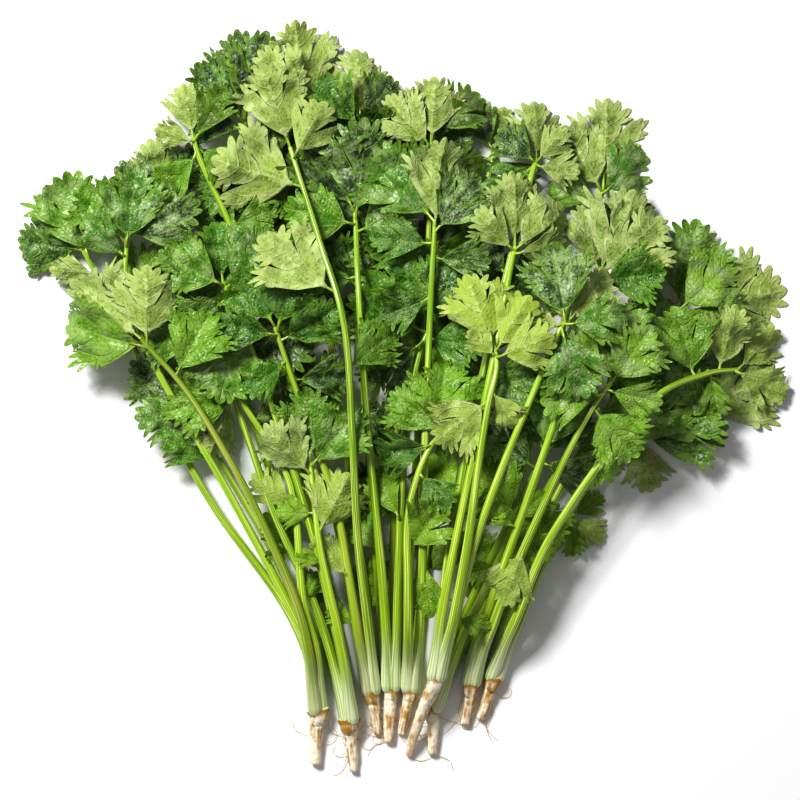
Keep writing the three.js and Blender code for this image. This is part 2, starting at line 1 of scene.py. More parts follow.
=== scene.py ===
# A bunch of fresh coriander with its roots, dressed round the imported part.
# The layout is in millimetres on the plan, as the part has it, and the meshes are in metres.
import bpy
import bmesh
import math
import random
import numpy as np
from mathutils import Euler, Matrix, Vector, kdtree, noise
from mathutils.geometry import delaunay_2d_cdt


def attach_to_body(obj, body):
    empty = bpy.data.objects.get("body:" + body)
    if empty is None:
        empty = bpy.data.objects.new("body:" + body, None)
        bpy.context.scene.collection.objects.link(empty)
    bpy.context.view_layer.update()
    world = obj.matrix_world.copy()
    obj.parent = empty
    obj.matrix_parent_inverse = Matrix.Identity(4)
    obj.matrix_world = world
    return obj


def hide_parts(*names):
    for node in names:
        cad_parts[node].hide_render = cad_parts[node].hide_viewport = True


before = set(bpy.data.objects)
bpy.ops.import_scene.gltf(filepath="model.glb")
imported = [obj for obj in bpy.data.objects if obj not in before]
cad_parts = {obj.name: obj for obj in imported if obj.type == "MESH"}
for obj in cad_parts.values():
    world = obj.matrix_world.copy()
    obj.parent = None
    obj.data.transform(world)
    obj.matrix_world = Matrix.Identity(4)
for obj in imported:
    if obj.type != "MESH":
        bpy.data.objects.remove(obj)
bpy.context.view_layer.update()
print("frame loaded:", len(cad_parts), "nodes")

# sizes that the part has too, in mm and degrees
planMiddle = (0.6, -2.05)  # the plan's point that is at x = 0 and y = 0 in the frame
partSizes = {
    "stemBaseRadius": 1.75,
    "stemTipRadius": 1,
    "knotShares": (0, 0.07, 0.18, 0.33, 0.5, 0.67, 0.84, 1),
    "slotWidth": 4.4,
    "slotHeight": 3.7,
    "crownGap": 0.4,
    "shoulderLength": 3.2,
    "rootSides": 8,
    "bladeThickness": 0.8,
    "bladeLongest": 35,
    "smallBlade": 23,
    "tilts": (-24, -12, 0, 12, 24),
    # corners of a blade's rim, across and along in shares of its length
    "bladeTeeth": ((0.42, 0.42), (0.34, 0.52), (0.47, 0.7), (0.17, 0.62), (0.24, 0.9)),
    "leastStalk": 0.12,  # of the reach from the stem to a blade's tip
    "sameCorner": 0.06,  # mm
    "enoughCorners": 8,  # a blade with fewer of its corners found is a loose fit
    # how the blades vary: the number of the draw, and the range that it falls in
    "variety": {
        "width": (1, 0.92, 1.18),
        "fold": (2, -0.1, 0.34),
        "arch": (3, -0.02, 0.08),
        "sag": (4, -0.04, 0.1),
    },
}

# Each plant: its crown as (x, y, radius, height), the way its stems leave it, and its root's rows.
plants = {
    "a": {"crown": (-33, -128, 4.6, 0), "heading": 100,
          "root": [(-33.6, -134, 3.2, 0), (-34, -142, 2.6, 0), (-34, -150, 2.1, 0)]},
    "b": {"crown": (-20.5, -132, 4.6, 0), "heading": 96,
          "root": [(-20, -138, 3, 0), (-19.3, -145, 2.3, 0), (-18.6, -153, 1.7, 0)]},
    "c": {"crown": (-11.6, -120.5, 3.6, 0), "heading": 97,
          "root": [(-10.8, -126, 2.5, 0), (-9.8, -132, 2, 0), (-9, -138, 1.6, 0)]},
    "d": {"crown": (-3.6, -119, 3.5, 0), "heading": 92,
          "root": [(-4, -125, 2.6, 0), (-4.2, -133, 2.4, 0), (-4.6, -141, 2, 0)]},
    "e": {"crown": (4.2, -119.5, 3.5, 0), "heading": 88,
          "root": [(3.4, -125, 2.5, 0), (2, -131, 2.1, 0), (0.6, -138, 1.6, 0)]},
    "f": {"crown": (13.4, -127, 3.6, 0), "heading": 68,
          "root": [(13.4, -133, 2.6, 0), (13.4, -139, 2.2, 0), (13, -146, 1.8, 0)]},
    "g": {"crown": (14.5, -114, 3.5, 12), "heading": 78,
          "root": [(12.2, -121, 2.7, 11.4), (8.4, -130, 2.3, 7.4), (3.6, -146.5, 1.5, 0)]},
    "h": {"crown": (28.9, -117, 3.7, 0), "heading": 82,
          "root": [(28.4, -123, 2.7, 0), (27.2, -128.5, 2.3, 0), (26, -134, 1.9, 0)]},
    "i": {"crown": (38, -115, 3.7, 0), "heading": 74,
          "root": [(36.4, -120.5, 2.5, 0), (34.6, -126.5, 2.1, 0), (32.4, -132, 1.8, 0)]},
}

# Every leafy stem in the order in which they lie: its slot in the crown, its route as (x, y), and its
# leaflets as (share of the route, tip x, tip y, 1 where its underside shows).
leafyStems = {
    "f1": ((1, 0), [(28, -98), (44, -74), (60, -58), (70, -50)], [
        (1, 82, -42, 0), (0.98, 82, -60, 1), (0.96, 70, -66, 0)]),
    "i1": ((1, 0), [(47.5, -94), (60, -64), (78, -34), (98, -16)], [
        (1, 154, 7, 1), (0.98, 101, -40, 1), (0.96, 132, -14, 0), (0.93, 128, 4, 0),
        (0.84, 110, 8, 0)]),
    "i2": ((0, 0), [(43, -92), (56, -54), (78, -16), (98, 16), (112, 33)], [
        (1, 120, 69, 0), (0.98, 156, 41, 1), (0.96, 94, 44, 0), (0.97, 140, 22, 0),
        (0.86, 118, 0, 0), (0.8, 109, 38, 0), (0.99, 134, 53, 0)]),
    "a1": ((0, 0), [(-37, -108), (-43.8, -90), (-64, -61), (-84, -33), (-98, -3), (-112, 28),
        (-130, 62)], [
        (1, -144, 83, 0), (0.98, -155, 61, 0), (0.96, -134, 88, 0), (0.94, -141, 49, 1),
        (0.88, -97, 58, 0)]),
    "a2": ((1, 0), [(-32.8, -108), (-38, -94), (-50, -66), (-68, -36), (-84, -4)], [
        (1, -108, 12, 0), (0.96, -106, -10, 0), (0.86, -95, -18, 0)]),
    "h1": ((1, 0), [(38, -92), (49, -58), (66.5, -26), (80, 0)], [
        (0.98, 104, 14, 0), (0.94, 106, -14, 0), (0.82, 88, -32, 0)]),
    "b1": ((0, 0), [(-33, -92), (-50, -40), (-70, 20), (-86, 64), (-94, 79)], [
        (1, -101, 102, 1), (0.98, -115, 90, 0), (0.96, -82, 100, 0), (0.9, -66, 72, 0),
        (0.22, -28, -78, 0), (0.3, -55, -49, 0)]),
    "b2": ((1, 0), [(-27, -92), (-40, -30), (-52, 40), (-60, 92), (-63, 110)], [
        (1, -66, 146, 0), (0.98, -82, 132, 0), (0.99, -54, 145, 0), (0.94, -86, 112, 0),
        (0.92, -38, 100, 0), (0.86, -76, 72, 0), (0.66, -40, 70, 0)]),
    "h2": ((0, 0), [(33, -92), (45, -46), (62, 14), (77, 64), (82, 82)], [
        (1, 84, 118, 1), (0.98, 66, 107, 1), (0.96, 98, 98, 0), (0.93, 60, 84, 0),
        (0.91, 102, 72, 0), (0.66, 38, 46, 0), (0.22, 27, -72, 0)]),
    "c1": ((0, 0), [(-18, -90), (-34, -20), (-60, 48), (-78, 88), (-83, 102)], [
        (1, -87, 124, 1), (0.98, -70, 122, 0), (0.97, -98, 106, 1), (0.93, -64, 88, 0),
        (0.9, -96, 78, 0), (0.4, -50, -1, 0), (0.68, -50, 74, 0)]),
    "e1": ((1, 0), [(8, -88), (16, -20), (28, 50), (36, 88), (38, 98)], [
        (1, 42, 115, 1), (0.98, 26, 116, 0), (0.93, 18, 90, 0), (0.91, 54, 80, 0), (0.64, 8, 68, 0),
        (0.6, 47, 45, 0), (0.24, 21, -56, 0), (0.28, -5, -64, 0)]),
    "c2": ((1, 0), [(-13, -90), (-22, -20), (-32, 50), (-36, 100), (-37, 115)], [
        (1, -42, 149, 1), (0.97, -56, 136, 1), (0.94, -16, 108, 0), (0.92, -58, 104, 0),
        (0.72, -54, 80, 0), (0.44, -42, 13, 0), (0.3, -8, -35, 0), (0.19, -8, -68, 0)]),
    "d1": ((0, 0), [(-7.5, -88), (-13, -20), (-17, 50), (-17, 96), (-16, 108)], [
        (1, -17, 139, 1), (0.98, -3, 127, 0), (0.97, -32, 126, 0), (0.88, -24, 62, 0),
        (0.58, -34, 62, 0), (0.5, -23, 38, 0), (0.36, -20, -30, 0)]),
    "d2": ((1, 0), [(-2.5, -88), (-2, -20), (0, 50), (1, 92)], [
        (1, 29, 104, 0), (0.98, 8, 121, 0), (0.96, -14, 114, 0), (0.72, -12, 66, 0),
        (0.46, -12, -4, 0)]),
    "e2": ((0, 0), [(3, -88), (7, -20), (11, 50), (13, 104)], [
        (1, 32, 121, 0), (0.98, 14, 126, 1), (0.97, -6, 118, 1), (0.92, 34, 92, 0),
        (0.78, 34, 58, 0), (0.5, 24, 34, 0)]),
    "f2": ((0, 0), [(22.8, -98), (36, -68), (50, -40), (58, -24)], [
        (1, 76, -10, 0), (0.98, 50, 4, 0), (0.97, 66, 8, 0), (0.93, 80, -36, 0), (0.88, 34, -14, 0),
        (0.76, 64, -62, 0), (0.42, 28, -54, 0)]),
    "f3": ((1, 1), [(22, -106), (32, -84), (42, -62), (46, -50)], [
        (1, 33, -28, 0), (0.97, 58, -40, 0), (0.86, 62, -66, 0), (0.66, 26, -74, 0)]),
    "a3": ((0, 1), [(-36, -108), (-42, -91), (-59, -57), (-84, -14), (-102, 18), (-110, 43),
        (-110, 62)], [
        (1, -82, 76, 0), (0.98, -128, 82, 0), (0.97, -106, 90, 0), (0.94, -126, 68, 0),
        (0.88, -86, 46, 0)]),
    "h3": ((0, 1), [(35, -88), (49, -48), (66, 2), (77, 36), (80, 48)], [
        (1, 74, 77, 1), (0.98, 95, 79, 1), (0.97, 105, 70, 1), (0.93, 106, 48, 0),
        (0.82, 96, 18, 0)]),
    "g1": ((0, 0), [(17, -86), (26, -24), (42, 44), (52, 84), (55, 93)], [
        (1, 55, 117, 1), (0.98, 67, 106, 1), (0.97, 40, 106, 0), (0.94, 72, 88, 1),
        (0.92, 32, 80, 0), (0.42, 42, -26, 0), (0.47, 56, 7, 0), (0.34, 13, -25, 0),
        (0.62, 33, 60, 0)]),
    "i3": ((0, 1), [(46, -92), (59, -60), (80, -28), (102, -2), (122, 7), (136, 9)], [
        (1, 152, 25, 1), (0.98, 156, -2, 1), (0.9, 135, 34, 1), (0.86, 128, -10, 0),
        (0.8, 110, 34, 0)]),
    "b3": ((0, 1), [(-31, -94), (-50, -50), (-64, -10), (-73, 14)], [
        (1, -36, 18, 0), (0.84, -76, -26, 1), (0.62, -45, -14, 0), (0.42, -54, -66, 0)]),
    "a4": ((1, 1), [(-33, -106), (-38, -91), (-41, -60), (-43, -40), (-50, -24), (-64, -3),
        (-83, 28)], [
        (1, -100, 42, 0), (0.98, -78, 58, 0), (0.97, -106, 22, 0), (0.86, -94, -8, 0),
        (0.8, -50, -6, 0), (0.52, -59, -33, 1), (0.32, -33, -72, 0)]),
    "b4": ((1, 1), [(-26, -94), (-38, -46), (-52, -4), (-64, 28), (-71, 44)], [
        (1, -74, 68, 0), (0.98, -96, 56, 0), (0.96, -50, 64, 0), (0.92, -90, 24, 0),
        (0.82, -72, -4, 0), (0.42, -30, -34, 0)]),
    "d3": ((1, 1), [(-1, -88), (1, -34), (6, 8), (12, 26)], [
        (1, -4, 62, 0), (0.98, 24, 56, 0), (0.96, -20, 38, 0), (0.93, 34, 18, 0), (0.9, -16, 4, 0),
        (0.5, 12, -34, 0), (0.42, -10, -29, 0)]),
    "d4": ((0, 1), [(-6, -88), (-12, -24), (-16, 30), (-18, 72)], [
        (1, -36, 106, 0), (0.98, -14, 108, 0), (0.97, -46, 74, 0), (0.95, 6, 76, 0),
        (0.84, -40, 42, 0), (0.35, -20, -50, 0)]),
    "e3": ((1, 1), [(8.5, -88), (10, -24), (12, 30), (14, 68)], [
        (1, -10, 97, 0), (0.98, 17, 101, 1), (0.97, 32, 86, 0), (0.94, -12, 62, 0),
        (0.9, 36, 52, 0), (0.8, -8, 30, 0), (0.36, 20, -44, 1), (0.34, 12, -90, 0)]),
    "h4": ((1, 1), [(39, -88), (55, -50), (72, -14), (84, 4)], [
        (1, 80, 34, 0), (0.98, 100, 26, 0), (0.97, 62, 22, 0), (0.95, 104, -4, 0),
        (0.92, 56, -4, 0), (0.84, 94, -26, 0), (0.42, 41, -85, 1)]),
    "c3": ((0, 1), [(-18, -90), (-26, -44), (-40, -4), (-50, 26)], [
        (1, -64, 50, 0), (0.98, -42, 56, 0), (0.97, -74, 28, 0), (0.95, -24, 34, 0),
        (0.88, -62, 0, 0), (0.82, -20, 6, 0), (0.34, -34, -58, 1), (0.22, -29, -86, 0)]),
    "e4": ((0, 1), [(3.5, -88), (3, -52), (9, -28), (16, -17)], [
        (1, -4, 0, 0), (0.98, 18, 12, 0), (0.42, 17, -44, 0), (0.88, -10, -24, 0),
        (0.7, 20, -46, 0)]),
    "b5": ((1, 2), [(-25, -94), (-32, -62), (-36, -28)], [
        (1, -36, 1, 0), (0.98, -16, -6, 0), (0.95, -54, -14, 1), (0.6, -42, -66, 0),
        (0.8, -50, -48, 0), (0.72, -20, -33, 1)]),
    "g2": ((0, 1), [(17.5, -84), (26, -40), (37, 12), (43, 44), (46, 58)], [
        (1, 46, 88, 1), (0.98, 68, 74, 1), (0.97, 31, 72, 1), (0.95, 67, 60, 1),
        (0.36, 38, -44, 0)]),
    "g3": ((1, 0), [(23.5, -84), (34, -46), (50, -8), (62, 22), (66, 27)], [
        (1, 84, 48, 1), (0.98, 60, 60, 0), (0.97, 90, 30, 0), (0.93, 44, 30, 1), (0.86, 74, -2, 0),
        (0.36, 44, -46, 0), (0.16, 36, -94, 0)]),
    "a5": ((0, 2), [(-36, -108), (-40, -90), (-50, -60), (-64, -37), (-74, -16), (-87, 3),
        (-103, 21)], [
        (1, -131, 44, 1), (0.98, -101, 50, 1), (0.97, -135, 29, 0), (0.88, -76, 32, 0)]),
    "g4": ((1, 1), [(22.5, -84), (29, -46), (33, -14), (38, 6), (38, 17)], [
        (1, 26, 47, 1), (0.98, 51, 38, 1), (0.94, 27, 24, 1), (0.93, 60, 22, 1), (0.74, 46, -14, 1),
        (0.7, 14, -20, 1)]),
    "c4": ((1, 1), [(-13, -92), (-17, -56), (-19, -16), (-22, 26), (-32, 60), (-44, 98)], [
        (1, -55, 131, 1), (0.98, -30, 116, 1), (0.93, -75, 93, 1), (0.73, -56, 62, 1),
        (0.6, -2, 24, 0)]),
}

# the layout, worked out as the part does it


def mix(a, b, share):
    return a + (b - a) * share


def eased(share):
    return share * share * (3 - 2 * share)


def draw(first, second, low, high):
    # a number in the range that is always the same for the same pair
    spread = math.sin(first * 12.9898 + second * 78.233) * 43758.5453
    return mix(low, high, spread - math.floor(spread))


def splinePoint(points, share):
    # uniform Catmull-Rom through the points, with its ends run on
    last = len(points) - 1
    at = min(share * last, last - 1e-9)
    k = int(at)
    t = at - k
    p1, p2 = points[k], points[k + 1]
    p0 = points[k - 1] if k > 0 else p1 * 2 - p2
    p3 = points[k + 2] if k + 2 <= last else p2 * 2 - p1
    start, end = (p2 - p0) * 0.5, (p3 - p1) * 0.5
    return (p1 + start * t + (p2 * 3 - p1 * 3 - start * 2 - end) * t ** 2
            + (p1 * 2 - p2 * 2 + start + end) * t ** 3)


def stemRadius(share):
    return mix(partSizes["stemBaseRadius"], partSizes["stemTipRadius"], share * share)


def footOf(plant, slot):
    x, y, _, lift = plant["crown"]
    angle = math.radians(plant["heading"])
    aside = (slot[0] - 0.5) * partSizes["slotWidth"]
    gap = partSizes["crownGap"]
    return Vector((x + math.sin(angle) * aside + math.cos(angle) * gap,
                   y - math.cos(angle) * aside + math.sin(angle) * gap,
                   partSizes["stemBaseRadius"] + lift + slot[1] * partSizes["slotHeight"]))


def stretchOf(share):
    # the stretch between two knots that a share lies in, and how far along it
    ends = partSizes["knotShares"]
    k = max(j for j in range(len(ends) - 1) if ends[j] <= share)
    return k, (share - ends[k]) / (ends[k + 1] - ends[k])


def stemPoint(knots, share):
    k, far = stretchOf(share)
    return splinePoint(knots, (k + far) / (len(knots) - 1))


def shapeLeaflet(attach, row, number, pitch, roll):
    x, y, under = row[1:]
    reach = math.hypot(x - attach.x, y - attach.y)
    stalk = max(reach - partSizes["bladeLongest"], reach * partSizes["leastStalk"])
    heading = math.atan2(y - attach.y, x - attach.x)
    ahead = Vector((math.cos(heading), math.sin(heading), 0))
    level = Vector((math.sin(heading), -math.cos(heading), 0))
    along = ahead * math.cos(pitch)
    along.z = math.sin(pitch)
    upright = level.cross(along)
    drawn = {label: draw(number, *row) for label, row in partSizes["variety"].items()}
    drawn["fold"] *= -1 if under else 1
    return {
        **drawn,
        "base": Vector((attach.x, attach.y, 0)) + ahead * stalk,
        "along": along,
        "across": level * math.cos(roll) + upright * math.sin(roll),
        "up": upright * math.cos(roll) - level * math.sin(roll),
        "length": (reach - stalk) / math.cos(pitch),
        "under": under,
        "number": number,
    }


def bladePoint(leaflet, u, v):
    rise = leaflet["fold"] * abs(u) + leaflet["arch"] * 4 * v * (1 - v) - leaflet["sag"] * v * v
    return (leaflet["across"] * u + leaflet["along"] * v + leaflet["up"] * rise) * leaflet["length"]


# where each leafy stem lies, read from its node in the frame


def planTree(node):
    corners = {tuple(round(c, 6) for c in vertex.co) for vertex in node.data.vertices}
    corners = [Vector((x * 1000 + planMiddle[0], y * 1000 + planMiddle[1], z * 1000))
               for x, y, z in sorted(corners)]
    solid, flat = kdtree.KDTree(len(corners)), kdtree.KDTree(len(corners))
    for k, corner in enumerate(corners):
        solid.insert(corner, k)
        flat.insert((corner.x, corner.y, 0), k)
    solid.balance()
    flat.balance()
    return solid, flat, corners


def heightsAt(flat, corners, point):
    near = flat.find_range((point.x, point.y, 0), partSizes["sameCorner"])
    return [corners[k].z for _, k, _ in near]


def countMatched(solid, points):
    return sum(solid.find(point)[2] < partSizes["sameCorner"] for point in points)


def knotHeights(tree, knots):
    solid, flat, corners = tree
    found = []
    for k, knot in enumerate(knots):
        radius = stemRadius(partSizes["knotShares"][k])
        ahead = knots[min(k + 1, len(knots) - 1)] - knots[max(k - 1, 0)]
        side = Vector((ahead.y, -ahead.x, 0)).normalized() * radius
        up = Vector((0, 0, radius))
        best = (1, None)
        for height in heightsAt(flat, corners, knot):
            for z in (height - radius, height + radius):
                centre = Vector((knot.x, knot.y, z))
                score = countMatched(solid, [centre + way for way in (up, -up, side, -side)])
                if score > best[0]:
                    best = (score, z)
        found.append(best[1])
    known = [k for k, z in enumerate(found) if z is not None]
    for k, z in enumerate(found):
        if z is None:
            before = max((j for j in known if j < k), default=known[0])
            after = min((j for j in known if j > k), default=known[-1])
            share = (k - before) / (after - before) if after != before else 0
            found[k] = mix(found[before], found[after], share)
    return found, len(knots) - len(known)


def fitLeaflet(tree, attach, row, number):
    # the lean at which the most corners of the blade's rim are corners of the node
    solid, flat, corners = tree
    teeth = partSizes["bladeTeeth"]
    best = (-1, None)
    for pitch in partSizes["tilts"]:
        for roll in partSizes["tilts"]:
            leaflet = shapeLeaflet(attach, row, number, math.radians(pitch), math.radians(roll))
            shown = teeth[2:] if leaflet["length"] < partSizes["smallBlade"] else teeth
            rim = [(u * leaflet["width"] * side, v) for u, v in shown for side in (1, -1)] + [(0, 1)]
            half = leaflet["up"] * partSizes["bladeThickness"] / 2
            points = [leaflet["base"] + bladePoint(leaflet, u, v) + half * way
                      for u, v in rim for way in (1, -1)]
            for probe in (points[-2], points[-1], points[0], points[2]):
                for height in heightsAt(flat, corners, probe):
                    lift = Vector((0, 0, height - probe.z))
                    score = countMatched(solid, [point + lift for point in points])
                    if score > best[0]:
                        leaflet["base"].z = lift.z
                        best = (score, dict(leaflet, base=leaflet["base"].copy()))
                        leaflet["base"].z = 0
    return best


def layStem(name, number):
    slot, route, rows = leafyStems[name]
    foot = footOf(plants[name[0]], slot)
    plan = [foot] + [Vector((x, y, foot.z)) for x, y in route]
    knots = [splinePoint(plan, share) for share in partSizes["knotShares"]]
    tree = planTree(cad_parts["leafy_stem_" + name])
    heights, missing = knotHeights(tree, knots)
    for knot, height in zip(knots, heights):
        knot.z = height
    leaflets = []
    for k, row in enumerate(rows):
        first, far = stretchOf(row[0])
        attach = knots[first].lerp(knots[first + 1], far)
        score, leaflet = fitLeaflet(tree, attach, row, number * 10 + k)
        if score < partSizes["enoughCorners"]:
            print("  a loose fit:", name, k, "corners", score)
        leaflet["attach"] = stemPoint(knots, row[0])
        leaflets.append(leaflet)
    return {"number": number, "knots": knots, "leaflets": leaflets, "missing": missing}


laidStems = {name: layStem(name, k + 1) for k, name in enumerate(leafyStems)}
print("stems fitted:", len(laidStems), "with knots read between others:",
      sum(stem["missing"] for stem in laidStems.values()))

# small helpers for node trees


class Flow:
    # a node's output that sums can be made with: each sum adds a Math node
    def __init__(self, tree, socket):
        self.tree = tree
        self.socket = socket

    def __add__(self, other):
        return maths(self.tree, "ADD", self, other)

    def __radd__(self, other):
        return maths(self.tree, "ADD", other, self)

    def __sub__(self, other):
        return maths(self.tree, "SUBTRACT", self, other)

    def __rsub__(self, other):
        return maths(self.tree, "SUBTRACT", other, self)

    def __mul__(self, other):
        return maths(self.tree, "MULTIPLY", self, other)

    def __truediv__(self, other):
        return maths(self.tree, "DIVIDE", self, other)

    def __abs__(self):
        return maths(self.tree, "ABSOLUTE", self)


def feed(tree, socket, value):
    # a link where the value is a node's output, and a plain setting otherwise
    value = value.socket if isinstance(value, Flow) else value
    if isinstance(value, bpy.types.NodeSocket):
        tree.links.new(value, socket)
    else:
        socket.default_value = value


def put(tree, kind, values=(), **options):
    node = tree.nodes.new(kind)
    for option, value in options.items():
        setattr(node, option, value)
    pairs = values.items() if isinstance(values, dict) else enumerate(values)
    for key, value in pairs:
        feed(tree, node.inputs[key], value)
    return node


def outputOf(tree, kind, values=(), **options):
    return Flow(tree, put(tree, kind, values, **options).outputs[0])


def maths(tree, operation, *values):
    return outputOf(tree, "ShaderNodeMath", values, operation=operation)


def scaled(tree, vector, factor):
    return outputOf(tree, "ShaderNodeVectorMath", {0: vector, "Scale": factor}, operation="SCALE")


def added(tree, *vectors):
    total = vectors[0]
    for vector in vectors[1:]:
        total = outputOf(tree, "ShaderNodeVectorMath", (total, vector), operation="ADD")
    return total


def joined(tree, *numbers):
    return outputOf(tree, "ShaderNodeCombineXYZ", numbers)


def parts(tree, vector):
    return [Flow(tree, socket) for socket in put(tree, "ShaderNodeSeparateXYZ", (vector,)).outputs]


def field(tree, name, kind="FLOAT"):
    node = put(tree, "GeometryNodeInputNamedAttribute", {"Name": name}, data_type=kind)
    return Flow(tree, next(socket for socket in node.outputs if socket.enabled))


def vectorField(tree, name):
    return field(tree, name, "FLOAT_VECTOR")


def smoothRange(value, low, high, out=(0, 1)):
    # goes from one number of out to the other while the value goes from low to high
    limits = {"From Min": low, "From Max": high, "To Min": out[0], "To Max": out[1]}
    return outputOf(value.tree, "ShaderNodeMapRange", {"Value": value, **limits},
                    interpolation_type="SMOOTHSTEP")


def noiseAt(tree, where, scale, detail):
    node = put(tree, "ShaderNodeTexNoise", {"Vector": where, "Scale": scale, "Detail": detail})
    return Flow(tree, node.outputs["Fac"])


def stored(tree, geometry, name, value):
    node = put(tree, "GeometryNodeStoreNamedAttribute", {"Geometry": geometry, "Name": name},
               data_type="FLOAT", domain="POINT")
    feed(tree, next(s for s in node.inputs if s.name == "Value" and s.enabled), value)
    return node.outputs[0]


def newTree(name, inputs):
    tree = bpy.data.node_groups.new(name, "GeometryNodeTree")
    for way in ("INPUT", "OUTPUT"):
        tree.interface.new_socket("Geometry", in_out=way, socket_type="NodeSocketGeometry")
    for label, kind in inputs.items():
        tree.interface.new_socket(label, in_out="INPUT", socket_type="NodeSocket" + kind)
    return tree, tree.nodes.new("NodeGroupInput").outputs


def endTree(tree, geometry, material):
    realized = outputOf(tree, "GeometryNodeRealizeInstances", {"Geometry": geometry})
    dressed = outputOf(tree, "GeometryNodeSetMaterial", {"Geometry": realized, "Material": material})
    feed(tree, tree.nodes.new("NodeGroupOutput").inputs[0], dressed)


def newObject(name, data):
    thing = bpy.data.objects.new(name, data)
    bpy.context.scene.collection.objects.link(thing)
    return thing


def grown(name, source, tree, settings):
    # runs the tree on the source mesh and keeps the result as a plain mesh
    holder = newObject(name + "_source", source)
    modifier = holder.modifiers.new("grow", "NODES")
    modifier.node_group = tree
    for item in tree.interface.items_tree:
        if item.in_out == "INPUT" and item.name in settings:
            modifier[item.identifier] = settings[item.name]
    graph = bpy.context.evaluated_depsgraph_get()
    mesh = bpy.data.meshes.new_from_object(holder.evaluated_get(graph), preserve_all_data_layers=True,
                                           depsgraph=graph)
    bpy.data.objects.remove(holder)
    mesh.name = name
    return newObject(name, mesh)


def keep(mesh, kind, domain="POINT", **layers):
    # each layer becomes an attribute of the mesh
    for name, values in layers.items():
        layer = mesh.attributes.new(name, kind, domain)
        slot = "vector" if kind == "FLOAT_VECTOR" else "value"
        number = {"INT": np.int32, "BOOLEAN": bool}.get(kind, np.float32)
        layer.data.foreach_set(slot, np.asarray(values, dtype=number).ravel())


def tint(red, green, blue):
    # from 0 to 255 as shown on a screen, to what a material takes
    return tuple((c / 255 / 12.92) if c <= 10 else ((c / 255 + 0.055) / 1.055) ** 2.4
                 for c in (red, green, blue)) + (1,)


def read(tree, name, output="Fac"):
    node = put(tree, "ShaderNodeAttribute", attribute_name=name, attribute_type="GEOMETRY")
    return Flow(tree, node.outputs[output])


def layered(tree, finish, colour, *layers):
    # lays colours over the first, each by its share: a name stands for a colour of the finish
    for share, over in layers:
        one, other = (tint(*finish[c]) if isinstance(c, str) else c for c in (colour, over))
        node = put(tree, "ShaderNodeMix", {0: share, 6: one, 7: other}, data_type="RGBA")
        colour = Flow(tree, node.outputs[2])
    return colour


def newMaterial(name):
    material = bpy.data.materials.new(name)
    material.use_nodes = True
    return material, material.node_tree


def dress(tree, finish, colour, roughness=None, height=None):
    skin = tree.nodes["Principled BSDF"]
    feed(tree, skin.inputs["Base Color"], colour)
    feed(tree, skin.inputs["Roughness"], roughness or finish["roughness"])
    feed(tree, skin.inputs["Specular IOR Level"], finish["specular"])
    if height:
        strength, distance = finish["bump"]
        bump = {"Strength": strength, "Distance": distance, "Height": height}
        feed(tree, skin.inputs["Normal"], outputOf(tree, "ShaderNodeBump", bump))


# leaf: glossy green above with a painted sheen and a painted highlight along the rim, paler and mottled
# below, both with fine veins
leafFinish = {
    "topDark": (16, 44, 3),
    "topMiddle": (66, 122, 12),
    "topBright": (128, 170, 30),
    # painted sheen: a pale grey-green laid over the tops in patches, standing in for reflected light
    "paintedSheenTop": (150, 168, 120),
    # painted highlight: a lighter green along the rim of the tops, standing in for light caught by the
    # teeth
    "paintedRimHighlight": (116, 156, 40),
    "topVein": (138, 174, 76),
    "below": (154, 172, 92),
    "belowSpot": (112, 140, 50),
    "belowRim": (172, 186, 118),
    "belowVein": (188, 200, 138),
    "warmAbove": (140, 172, 28),
    "warmBelow": (162, 182, 62),
    "mottleScale": 4.5,
    "spotScale": 34,
    "streakScales": (17, 5),
    "fanFoot": 0.3,  # how far below the blade the streaks spread from, in its lengths
    "netScale": 17,
    # where a colour or a line begins and is full, and the shares there if they aren't 0 and 1
    "middleAt": (0, 0.5),
    "brightAt": (0.5, 1.05),
    "paintedSheenAt": (0.38, 0.68, (0.12, 0.9)),
    "paintedRimHighlightAt": (0, 0.06, (0.5, 0)),
    "belowSpotAt": (-0.12, 0.2),
    "belowRimAt": (0, 0.1, (0.7, 0)),
    "veinAt": (0.001, 0.009, (1, 0)),
    "netAt": (0, 0.12, (1, 0)),
    "puffAt": (0, 0.5),
    "mottling": 0.8,
    "graininess": 1.1,
    "paintedSheenGrain": 0.7,
    "topVeins": (0.4, 0.1),  # how strongly the main veins and the net between them show
    "belowVeins": (0.55, 0.22),
    "warmShareBelow": 0.8,
    "roughness": (0.34, 0.52),  # above and below
    "roughSpread": 0.25,
    "grooves": 1.4,  # how deep the main veins lie in the relief, and how high its streaks stand
    "streaks": 1.2,
    "reliefSides": (1, -0.8),  # above and below
    "specular": 0.32,
    "bump": (0.7, 0.0003),  # strength, and distance in metres
}


